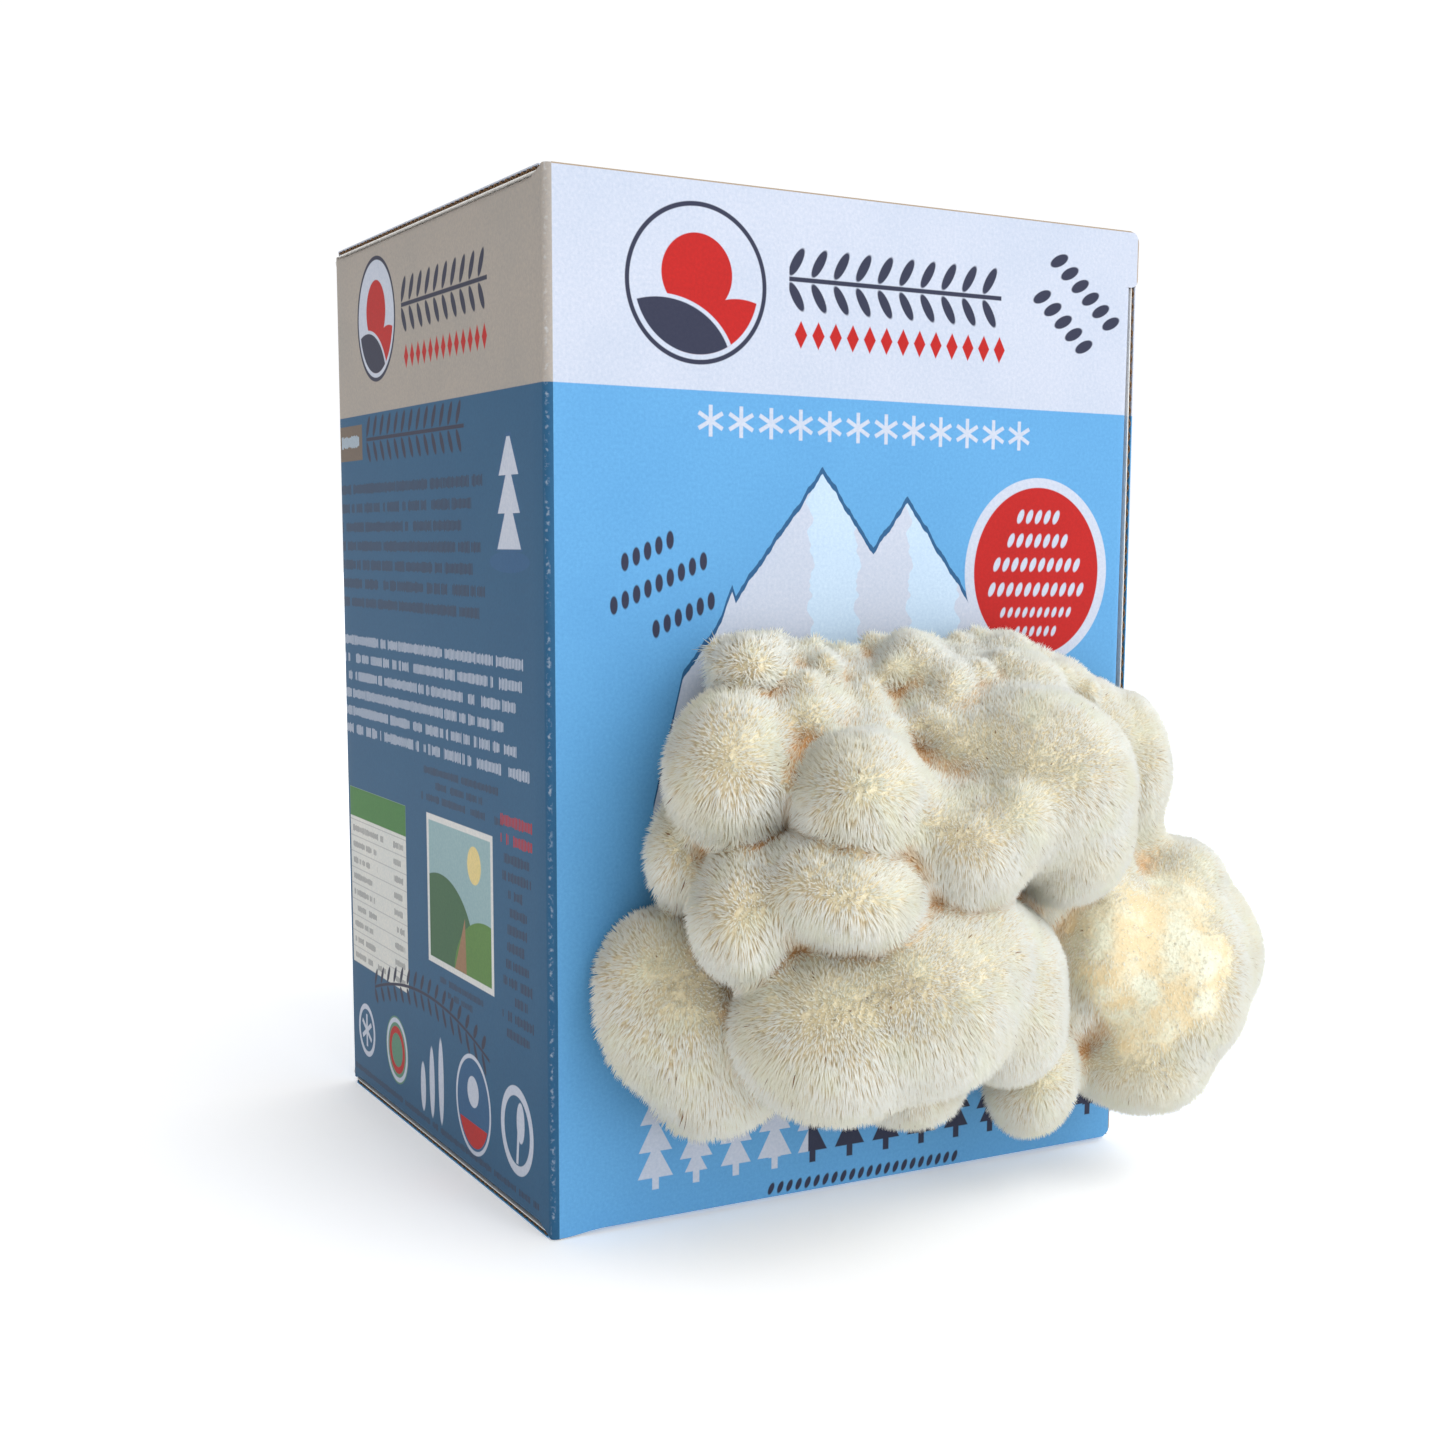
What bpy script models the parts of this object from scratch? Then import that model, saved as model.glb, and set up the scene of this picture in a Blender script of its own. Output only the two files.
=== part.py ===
# Lion's mane grow kit: a printed corrugated carton standing on end, the bagged sawdust
# block inside it, and the mushroom that has grown out through the window in its front.
# Metres, +Z up. The origin is the middle of the carton's underside, and the front faces -Y.

import math

import bmesh
import bpy
from mathutils import Matrix, Vector

MM = 0.001

# Carton
WIDTH = 170 * MM
DEPTH = 160 * MM
HEIGHT = 250 * MM
BOARD = 1.6 * MM              # E-flute board
END_WALL = 2 * BOARD          # the top and bottom roll over into a double wall
FOLD_RADIUS = 2.0 * MM        # outside of a folded edge
REAR_CORNER = 3.5 * MM        # where the rear panel folds into the end walls
LID_CORNER = 3.0 * MM         # rounded free corners of the lid
TUCK_INSET = 2.8 * MM         # from the lid's ears back to its tuck crease
EAR_HEIGHT = 14.5 * MM        # lid ears that cover the right wall at top and bottom
TUCK_FLAP = 58 * MM           # depth of the tuck flap behind the right wall
FLAP_OVERLAP = 2 * MM         # the flap's ends reach this far behind the ears

# Window in the lid, and the neck that fills it
WINDOW_X = 3 * MM
WINDOW_Z = 88 * MM
WINDOW_RADIUS = 40 * MM
NECK_RADIUS = 39.4 * MM

# Block and bag
GAP = 0.3 * MM
FILM = 0.4 * MM
BLOCK_WIDTH = 150 * MM
BLOCK_DEPTH = 142 * MM
BLOCK_HEIGHT = 186 * MM
BLOCK_CORNER = 14 * MM
BLOCK_X = -1 * MM
BAG_HEIGHT = 232 * MM         # top of the folded neck, above the bag's foot
BAG_NECK = 0.32               # the folded neck's depth as a share of the bag's

# Mushroom
CLEAR = 0.4 * MM              # between the mushroom and the face of the lid
LOBE_YAW = -30                # the lobes' broad sides face the front left
VOXEL = 3.2 * MM
SOFTEN = 2                    # smoothing passes that round the creases
KEEP = 0.40                   # share of the fused skin's triangles that is kept

# Each lobe: middle (x, y, z), half sizes (across, deep, high), tilt in degrees. In mm.
LOBES = {
    "lower_middle": ((-28, -126, 65), (31, 30, 24), 0),
    "lower_middle_right": ((20, -119, 58), (16, 26, 22), -6),
    "lower_left": ((-55, -104, 54), (20, 24, 29.5), -32),
    "underside_middle": ((2, -104, 35), (16.5, 22, 11.5), 0),
    "underside_right": ((40, -102, 31), (12, 20, 15.5), 15),
    "left_edge": ((-55, -94, 93), (8, 14, 12), 0),
    "left_small": ((-54, -106, 87), (10, 20, 15), 0),
    "left_round": ((-39, -120, 86), (17, 24, 14.5), 0),
    "upper_left": ((-50, -106, 115.5), (15.5, 24, 17.5), 0),
    "upper_left_top": ((-27, -102, 125), (10.5, 18, 9.5), 0),
    "upper_left_middle": ((-30, -124, 111.5), (14, 22, 14.5), 0),
    "upper_middle": ((22.5, -116, 111.5), (27, 30, 22.5), 0),
    "upper_middle_low": ((-6, -126, 97), (14.5, 22, 13.5), 0),
    "upper_middle_right": ((39, -116, 97), (15, 24, 17.5), 0),
    "upper_middle_knob": ((2, -118, 122), (9.5, 18, 8.5), 0),
    "upper_middle_bud": ((-12, -108, 125), (11, 16, 9), 0),
    "top_left": ((-40, -96, 138.5), (10, 15, 8.5), 0),
    "top_left_tuft": ((-20, -92, 138), (10.5, 14, 8), 0),
    "top_dip": ((-8, -96, 137), (8, 14, 7.5), 0),
    "top_middle": ((4, -94, 138.5), (10, 15, 8), 0),
    "top_middle_front": ((5, -106, 134), (10, 16, 9.7), 0),
    "top_ridge": ((20, -94, 136), (9, 14, 7), 0),
    "top_right": ((35.6, -90, 139), (9.3, 13, 7.2), 0),
    "top_right_front": ((33.5, -102, 132), (11, 17, 9), 0),
    "top_right_edge": ((63.5, -90, 126.5), (9, 14, 8.5), 0),
    "right_shoulder": ((74, -96, 109.5), (13.3, 20, 21), 0),
    "far_right": ((78, -107, 55), (24, 27, 29), 0),
    "far_right_top": ((87, -100, 81), (15.7, 19, 9), 0),
    "far_right_edge": ((100, -104, 58), (13.7, 22, 17.5), 0),
    "far_right_low": ((72, -106, 31), (20, 23, 13), 0),
    "far_right_inner": ((58, -104, 67.5), (13, 20, 18), 0),
    "heart_left": ((-22, -100, 88), (38, 24, 42), 0),
    "heart_top": ((20, -98, 98), (42, 22, 34), 0),
    "heart_right": ((42, -98, 66), (34, 20, 32), 0),
    "heart_low": ((-5, -98, 52), (34, 18, 20), 0),
    "heart_far": ((66, -94, 86), (20, 14, 26), 0),
    "heart_shoulder": ((54, -94, 112), (17, 15, 17), 0),
}

# Ragged tufts that stand up from the top row: middle and radius, in mm.
TUFTS = (
    ((-47, -92, 144), 3.2),
    ((-38, -98, 146), 3.0),
    ((-31, -90, 143), 3.4),
    ((-24, -98, 144), 3.2),
    ((-16, -88, 145), 3.0),
    ((-11, -100, 142), 3.6),
    ((-3, -92, 144), 3.2),
    ((3, -100, 146), 3.0),
    ((10, -92, 145), 3.2),
    ((16, -100, 141), 3.4),
    ((27, -92, 144), 3.2),
    ((34, -86, 146), 2.8),
    ((41, -92, 143), 3.2),
    ((47, -98, 136), 3.6),
    ((55, -92, 133), 3.4),
    ((61, -86, 135), 2.8),
    ((69, -92, 131), 3.2),
    ((77, -90, 128), 3.2),
)


def clear_scene():
    for thing in list(bpy.data.objects):
        bpy.data.objects.remove(thing, do_unlink=True)


def make_material(name, colour, roughness, metallic=0.0):
    material = bpy.data.materials.new(name)
    material.use_nodes = True
    shader = material.node_tree.nodes["Principled BSDF"]
    shader.inputs["Base Color"].default_value = (*colour, 1.0)
    shader.inputs["Roughness"].default_value = roughness
    shader.inputs["Metallic"].default_value = metallic
    return material


def object_from_bmesh(name, bm):
    bmesh.ops.recalc_face_normals(bm, faces=bm.faces)
    mesh = bpy.data.meshes.new(name)
    bm.to_mesh(mesh)
    bm.free()
    thing = bpy.data.objects.new(name, mesh)
    bpy.context.scene.collection.objects.link(thing)
    return thing


def make_cutter(thing):
    thing.hide_render = True
    thing.display_type = "WIRE"
    return thing


def combine(thing, other, operation):
    modifier = thing.modifiers.new(other.name, "BOOLEAN")
    modifier.operation = operation
    modifier.object = other
    modifier.solver = "EXACT"


def box(name, low, high):
    bm = bmesh.new()
    bmesh.ops.create_cube(bm, size=1.0)
    size = Vector(high) - Vector(low)
    middle = (Vector(high) + Vector(low)) / 2
    bmesh.ops.scale(bm, vec=size, verts=bm.verts)
    bmesh.ops.translate(bm, vec=middle, verts=bm.verts)
    return object_from_bmesh(name, bm)


def cylinder_along_y(name, x, z, radius, y_low, y_high, sides=40):
    bm = bmesh.new()
    bmesh.ops.create_cone(
        bm, cap_ends=True, segments=sides, radius1=radius, radius2=radius, depth=y_high - y_low
    )
    bmesh.ops.rotate(bm, cent=(0, 0, 0), matrix=Matrix.Rotation(math.pi / 2, 3, "X"), verts=bm.verts)
    bmesh.ops.translate(bm, vec=(x, (y_low + y_high) / 2, z), verts=bm.verts)
    return object_from_bmesh(name, bm)


def prism_along_y(name, outline, y_low, y_high):
    # outline: (x, z) points in order, extruded from y_low to y_high
    bm = bmesh.new()
    near = [bm.verts.new((x, y_low, z)) for x, z in outline]
    face = bm.faces.new(near)
    swept = bmesh.ops.extrude_face_region(bm, geom=[face])
    far = [part for part in swept["geom"] if isinstance(part, bmesh.types.BMVert)]
    bmesh.ops.translate(bm, vec=(0, y_high - y_low, 0), verts=far)
    return object_from_bmesh(name, bm)


def arc(middle_x, middle_z, radius, start, end, steps=6):
    angles = [math.radians(start + (end - start) * k / steps) for k in range(steps + 1)]
    return [(middle_x + radius * math.cos(a), middle_z + radius * math.sin(a)) for a in angles]


def folded_shell():
    # The closed carton as a block, with its folded edges rounded
    half_x = WIDTH / 2
    half_y = DEPTH / 2
    bm = bmesh.new()
    bmesh.ops.create_cube(bm, size=1.0)
    bmesh.ops.scale(bm, vec=(WIDTH, DEPTH, HEIGHT), verts=bm.verts)
    bmesh.ops.translate(bm, vec=(0, 0, HEIGHT / 2), verts=bm.verts)

    def middle_of(edge):
        return (edge.verts[0].co + edge.verts[1].co) / 2

    def is_fold(edge):
        # the three folded upright edges: every one but the lid's free edge at the front right
        at = middle_of(edge)
        upright = abs(at.z - HEIGHT / 2) < MM
        return upright and not (at.x > 0 and at.y < 0)

    def is_rear_edge(edge):
        at = middle_of(edge)
        return abs(at.x) < MM and at.y > half_y - MM and abs(at.x) < half_x

    folds = [edge for edge in bm.edges if is_fold(edge)]
    bmesh.ops.bevel(bm, geom=folds, offset=FOLD_RADIUS, segments=4, profile=0.5, affect="EDGES")
    rear = [edge for edge in bm.edges if is_rear_edge(edge)]
    bmesh.ops.bevel(bm, geom=rear, offset=REAR_CORNER, segments=4, profile=0.5, affect="EDGES")
    return object_from_bmesh("carton", bm)


def lid_corner_cutter(name, z, up):
    # What lies outside the lid's rounded free corner, through the lid's thickness
    half_x = WIDTH / 2
    side = 1 if up else -1
    past = 1.0 * MM
    curve = arc(half_x - LID_CORNER, z - side * LID_CORNER, LID_CORNER, 90 * side, 0)
    outline = [
        (half_x - LID_CORNER, z + side * past),
        *curve,
        (half_x + past, z - side * LID_CORNER),
        (half_x + past, z + side * past),
    ]
    return prism_along_y(name, outline, -DEPTH / 2 - past, -DEPTH / 2 + BOARD)


def carton():
    half_x = WIDTH / 2
    half_y = DEPTH / 2
    past = 1.0 * MM
    shell = folded_shell()

    inside = box(
        "inside",
        (-half_x + BOARD, -half_y + BOARD, END_WALL),
        (half_x - BOARD, half_y - BOARD, HEIGHT - END_WALL),
    )
    combine(shell, make_cutter(inside), "DIFFERENCE")

    # The tuck flap runs back from the lid's free edge, flat against the right wall
    flap = box(
        "tuck_flap",
        (half_x - 2 * BOARD, -half_y + BOARD / 2, EAR_HEIGHT - FLAP_OVERLAP),
        (half_x - BOARD / 2, -half_y + BOARD + TUCK_FLAP, HEIGHT - EAR_HEIGHT + FLAP_OVERLAP),
    )
    combine(shell, make_cutter(flap), "UNION")

    # Between the ears the lid stops short and bares the right wall's edge
    step = box(
        "bare_edge",
        (half_x - TUCK_INSET, -half_y - past, EAR_HEIGHT),
        (half_x + past, -half_y + BOARD, HEIGHT - EAR_HEIGHT),
    )
    combine(shell, make_cutter(step), "DIFFERENCE")

    for name, z, up in (("corner_top", HEIGHT, True), ("corner_low", 0.0, False)):
        combine(shell, make_cutter(lid_corner_cutter(name, z, up)), "DIFFERENCE")

    window = cylinder_along_y(
        "window", WINDOW_X, WINDOW_Z, WINDOW_RADIUS, -half_y - past, -half_y + BOARD + past
    )
    combine(shell, make_cutter(window), "DIFFERENCE")
    shell.data.materials.append(make_material("printed_board", (0.36, 0.62, 0.83), 0.55))
    return shell


def rounded_section(half_x, half_y, corner, z, steps=4):
    # A rectangle with round corners at height z, counter-clockwise from above
    corner = min(corner, half_x * 0.98, half_y * 0.98)
    points = []
    for quarter, (sx, sy) in enumerate(((1, 1), (-1, 1), (-1, -1), (1, -1))):
        for k in range(steps + 1):
            angle = math.radians(90 * quarter + 90 * k / steps)
            x = sx * (half_x - corner) + corner * math.cos(angle)
            y = sy * (half_y - corner) + corner * math.sin(angle)
            points.append((BLOCK_X + x, y, z))
    return points


def loft(name, sections):
    # Rings of equal length, bridged from the lowest to the highest and capped
    bm = bmesh.new()
    rings = [[bm.verts.new(point) for point in section] for section in sections]
    count = len(rings[0])
    bm.faces.new(list(reversed(rings[0])))
    for lower, upper in zip(rings, rings[1:]):
        for k in range(count):
            after = (k + 1) % count
            bm.faces.new((lower[k], lower[after], upper[after], upper[k]))
    bm.faces.new(rings[-1])
    return object_from_bmesh(name, bm)


def block_sections(grow, foot, top):
    # The pressed block's outline: a narrower foot, straight sides and a slightly domed top
    half_x = BLOCK_WIDTH / 2 + grow
    half_y = BLOCK_DEPTH / 2 + grow
    shoulder = 5 * MM
    return [
        rounded_section(half_x - shoulder, half_y - shoulder, BLOCK_CORNER, foot),
        rounded_section(half_x, half_y, BLOCK_CORNER, foot + shoulder),
        rounded_section(half_x, half_y, BLOCK_CORNER, top - shoulder),
        rounded_section(half_x - shoulder, half_y - shoulder, BLOCK_CORNER, top),
    ]


def substrate_block():
    foot = END_WALL + GAP + FILM + GAP
    block = loft("substrate_block", block_sections(0.0, foot, foot + BLOCK_HEIGHT))
    block.data.materials.append(make_material("sawdust_block", (0.55, 0.42, 0.29), 0.9))
    return block


def bag_sections(grow, foot):
    # The film follows the block, then closes to the flat folded neck above it
    half_x = BLOCK_WIDTH / 2 + grow
    half_y = BLOCK_DEPTH / 2 + grow
    shoulder = 5 * MM
    lift = BLOCK_HEIGHT + 2 * shoulder
    top = END_WALL + GAP + BAG_HEIGHT - (FILM + GAP - grow)
    return [
        rounded_section(half_x - shoulder, half_y - shoulder, BLOCK_CORNER, foot),
        rounded_section(half_x, half_y, BLOCK_CORNER, foot + shoulder),
        rounded_section(half_x, half_y, BLOCK_CORNER, foot + lift - shoulder),
        rounded_section(half_x * 0.9, half_y * 0.72, BLOCK_CORNER, foot + lift + 2 * shoulder),
        rounded_section(half_x * 0.8, half_y * BAG_NECK, BLOCK_CORNER, top - shoulder),
        rounded_section(half_x * 0.76, half_y * BAG_NECK * 0.8, BLOCK_CORNER, top),
    ]


def grow_bag():
    foot = END_WALL + GAP
    bag = loft("grow_bag", bag_sections(GAP + FILM, foot))
    hollow = loft("bag_inside", bag_sections(GAP, foot + FILM))
    combine(bag, make_cutter(hollow), "DIFFERENCE")
    front = -BLOCK_DEPTH / 2
    slit = cylinder_along_y(
        "bag_slit", WINDOW_X, WINDOW_Z, WINDOW_RADIUS, front - 4 * MM, front + 4 * MM
    )
    combine(bag, make_cutter(slit), "DIFFERENCE")
    bag.data.materials.append(make_material("bag_film", (0.86, 0.88, 0.88), 0.3))
    return bag


def add_lobe(bm, middle, radii, tilt):
    # An ellipsoid, tilted in the picture's plane and then turned with the whole cluster
    turn = Matrix.Rotation(math.radians(LOBE_YAW), 4, "Z")
    lean = Matrix.Rotation(math.radians(tilt), 4, "Y")
    place = Matrix.Translation(Vector(middle) * MM)
    stretch = Matrix.Diagonal((*(r * MM for r in radii), 1.0))
    bmesh.ops.create_icosphere(bm, subdivisions=4, radius=1.0, matrix=place @ turn @ lean @ stretch)


def fruit_body():
    bm = bmesh.new()
    for middle, radii, tilt in LOBES.values():
        add_lobe(bm, middle, radii, tilt)
    for middle, radius in TUFTS:
        add_lobe(bm, middle, (radius, radius, radius * 1.3), 0)
    cluster = object_from_bmesh("fruit_body", bm)

    fuse = cluster.modifiers.new("fuse", "REMESH")
    fuse.mode = "VOXEL"
    fuse.voxel_size = VOXEL
    fuse.adaptivity = 0.0
    soften = cluster.modifiers.new("soften", "SMOOTH")
    soften.factor = 0.5
    soften.iterations = SOFTEN
    thin = cluster.modifiers.new("thin", "DECIMATE")
    thin.ratio = KEEP

    # It pressed itself flat against the lid as it grew
    half_y = DEPTH / 2
    reach = 150 * MM
    behind = box("lid_side", (-reach, -half_y - CLEAR, -reach), (reach, reach, 2 * reach))
    combine(cluster, make_cutter(behind), "DIFFERENCE")

    # The neck passes the window and the slit, and roots in the block's face
    root = -BLOCK_DEPTH / 2 - GAP
    neck = cylinder_along_y(
        "neck", WINDOW_X, WINDOW_Z, NECK_RADIUS, -half_y - 12 * MM, root, sides=32
    )
    combine(cluster, make_cutter(neck), "UNION")
    cluster.data.materials.append(make_material("mushroom_spines", (0.87, 0.82, 0.68), 0.8))
    return cluster


def smooth_round_faces(thing, angle):
    for polygon in thing.data.polygons:
        polygon.use_smooth = True
    thing.data.set_sharp_from_angle(angle=math.radians(angle))


clear_scene()
for piece in (carton(), grow_bag(), substrate_block(), fruit_body()):
    smooth_round_faces(piece, 35)
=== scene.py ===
import math

import bpy
import numpy as np
from mathutils import Matrix, Vector


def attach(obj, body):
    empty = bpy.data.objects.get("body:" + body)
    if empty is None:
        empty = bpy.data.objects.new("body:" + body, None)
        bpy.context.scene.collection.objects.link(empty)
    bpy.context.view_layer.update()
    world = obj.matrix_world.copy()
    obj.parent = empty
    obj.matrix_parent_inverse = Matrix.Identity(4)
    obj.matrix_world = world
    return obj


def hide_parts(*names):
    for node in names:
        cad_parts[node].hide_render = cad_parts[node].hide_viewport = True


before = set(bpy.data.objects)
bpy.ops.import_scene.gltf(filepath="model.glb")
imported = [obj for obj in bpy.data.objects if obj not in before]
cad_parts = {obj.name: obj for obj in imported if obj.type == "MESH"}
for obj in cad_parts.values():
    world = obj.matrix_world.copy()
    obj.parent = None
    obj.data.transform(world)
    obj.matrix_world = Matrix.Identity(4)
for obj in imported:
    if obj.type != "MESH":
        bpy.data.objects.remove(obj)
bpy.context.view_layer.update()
mm = 0.001
scene = bpy.context.scene
scene.view_settings.view_transform = "Standard"
print("frame loaded:", ", ".join(sorted(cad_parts)))

# Meshes from arrays; every length below is in millimetres until a piece is made


def gridQuads(rows, columns, closed=False):
    # Corner numbers of a grid's quads, counter-clockwise where columns run right and rows run up.
    # A closed grid joins its last column to its first.
    row = np.arange(rows - 1)[:, None] * columns
    column = np.arange(columns if closed else columns - 1)[None, :]
    after = (column + 1) % columns
    corners = (row + column, row + after, row + columns + after, row + columns + column)
    return np.stack(corners, axis=-1).reshape(-1, 4)


def gridOf(x, y, z):
    # Points from three arrays or numbers, spread out to one shape
    return np.stack(np.broadcast_arrays(x, y, z), axis=-1)


def makePiece(name, shells, materials, normals=None):
    # One object at the origin. Each shell is (points, faces, material number); faces is an array of
    # quads or of triangles that counts from the shell's own first point.
    points, corners, sizes, finishes, base = [], [], [], [], 0
    for shellPoints, faces, finish in shells:
        shellPoints = np.asarray(shellPoints, float).reshape(-1, 3)
        points.append(shellPoints)
        corners.append((faces + base).ravel())
        sizes.append(np.full(len(faces), faces.shape[1]))
        finishes.append(np.broadcast_to(finish, len(faces)))
        base += len(shellPoints)
    points, corners = np.concatenate(points) * mm, np.concatenate(corners)
    sizes, finishes = np.concatenate(sizes), np.concatenate(finishes)
    mesh = bpy.data.meshes.new(name)
    mesh.vertices.add(len(points))
    mesh.vertices.foreach_set("co", points.astype(np.float32).ravel())
    mesh.loops.add(len(corners))
    mesh.loops.foreach_set("vertex_index", corners.astype(np.int32))
    mesh.polygons.add(len(sizes))
    mesh.polygons.foreach_set("loop_start", (np.cumsum(sizes) - sizes).astype(np.int32))
    mesh.polygons.foreach_set("use_smooth", np.full(len(sizes), True))
    mesh.polygons.foreach_set("material_index", finishes.astype(np.int32))
    mesh.update(calc_edges=True)
    if normals is not None:
        mesh.normals_split_custom_set_from_vertices(normals)
    for material in materials:
        mesh.materials.append(material)
    piece = bpy.data.objects.new(name, mesh)
    scene.collection.objects.link(piece)
    return piece


def addValues(piece, name, values):
    # One number for each vertex, which a material reads by name
    layer = piece.data.attributes.new(name, "FLOAT", "POINT")
    layer.data.foreach_set("value", np.asarray(values, np.float32))


def ridesFor(piece, node):
    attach(piece, "root")
    if node:
        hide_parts(node)
    return piece


def lumpNoise(points, size, seed):
    # Smooth noise from -1 to 1: random values on a cubic lattice, eased between the eight corners
    table = np.random.default_rng(seed).uniform(-1, 1, (32, 32, 32))
    place = points / size
    cell = np.floor(place).astype(int)
    part = place - cell
    part = part * part * (3 - 2 * part)
    total = np.zeros(points.shape[:-1])
    for corner in np.ndindex(2, 2, 2):
        share = np.prod(np.where(np.array(corner) == 1, part, 1 - part), axis=-1)
        spot = (cell + corner) % 32
        total += share * table[spot[..., 0], spot[..., 1], spot[..., 2]]
    return total


def eased(values, low, high):
    # 0 below low, 1 above high, and a smooth step between them
    share = np.clip((values - low) / (high - low), 0, 1)
    return share * share * (3 - 2 * share)


def unit(vectors):
    return vectors / np.maximum(np.linalg.norm(vectors, axis=-1, keepdims=True), 1e-9)


# Materials: sums on sockets are written as Python sums


class Wire:
    # A node's output; each sum on it is one Math node, and the same holds for a number on its left
    def __init__(self, owner, socket):
        self.owner, self.socket = owner, socket

    def maths(operation, reflected=False):
        if reflected:
            return lambda self, other: self.owner.sum(operation, other, self)
        return lambda self, *others: self.owner.sum(operation, self, *others)

    __add__, __radd__ = maths("ADD"), maths("ADD", reflected=True)
    __sub__, __rsub__ = maths("SUBTRACT"), maths("SUBTRACT", reflected=True)
    __mul__, __rmul__ = maths("MULTIPLY"), maths("MULTIPLY", reflected=True)
    __truediv__, __pow__, __abs__ = maths("DIVIDE"), maths("POWER"), maths("ABSOLUTE")
    floor, least, most = maths("FLOOR"), maths("MINIMUM"), maths("MAXIMUM")

    def __neg__(self):
        return self * -1.0


class Nodes:
    # The nodes of a material or of the world
    def __init__(self, tree):
        self.tree = tree

    def node(self, kind, settings=None, values=None, output=0):
        # Any node: its settings first, then the values or links of its sockets
        made = self.tree.nodes.new("ShaderNode" + kind)
        for key, value in (settings or {}).items():
            setattr(made, key, value)
        for key, value in (values or {}).items():
            self.feed(made.inputs[key], value)
        return Wire(self, made.outputs[output])

    def feed(self, socket, value):
        if isinstance(value, Wire):
            self.tree.links.new(value.socket, socket)
        elif socket.type == "RGBA":
            socket.default_value = (*value, 1.0)
        else:
            socket.default_value = value

    def sum(self, operation, *values, clamp=False):
        return self.node("Math", {"operation": operation, "use_clamp": clamp}, dict(enumerate(values)))

    def paint(self, under, over, share, blend="MIX"):
        # over laid on under where share is 1
        settings = {"data_type": "RGBA", "blend_type": blend, "clamp_factor": True}
        return self.node("Mix", settings, {0: share, 6: under, 7: over}, output=2)


class Finish(Nodes):
    # A material under construction: its Principled shader, and the nodes that feed it
    def __init__(self, name, roughness=0.6, **constants):
        self.material = bpy.data.materials.new(name)
        self.material.use_nodes = True
        super().__init__(self.material.node_tree)
        self.shader = self.tree.nodes["Principled BSDF"]
        self.finish(Roughness=roughness, **constants)

    def place(self):
        # the object's own coordinates, in millimetres
        where = self.node("TexCoord", output="Object")
        return self.node("VectorMath", {"operation": "SCALE"}, {0: where, "Scale": 1 / mm})

    def split(self, vector):
        x = self.node("SeparateXYZ", None, {0: vector})
        return [Wire(self, socket) for socket in x.socket.node.outputs]

    def joined(self, x, y, z):
        return self.node("CombineXYZ", None, {0: x, 1: y, 2: z})

    def noise(self, vector, size, detail=2.0, rough=0.5):
        # soft noise from 0 to 1 whose lumps are about size millimetres across
        values = {"Vector": vector, "Scale": 1.0 / size, "Detail": detail, "Roughness": rough}
        return self.node("TexNoise", None, values)

    def attribute(self, name):
        return self.node("Attribute", {"attribute_name": name}, output="Fac")

    def bump(self, height, strength, depth):
        # depth in millimetres
        return self.node("Bump", None, {"Height": height, "Strength": strength, "Distance": depth * mm})

    def finish(self, **values):
        for socketName, value in values.items():
            self.feed(self.shader.inputs[socketName.replace("_", " ")], value)
        return self.material


def between(wire, low, high):
    # 0 below low, 1 above high and straight between them; low may be the larger
    slope = 1 / (high - low)
    return wire.owner.sum("MULTIPLY_ADD", wire, slope, -low * slope, clamp=True)


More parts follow.
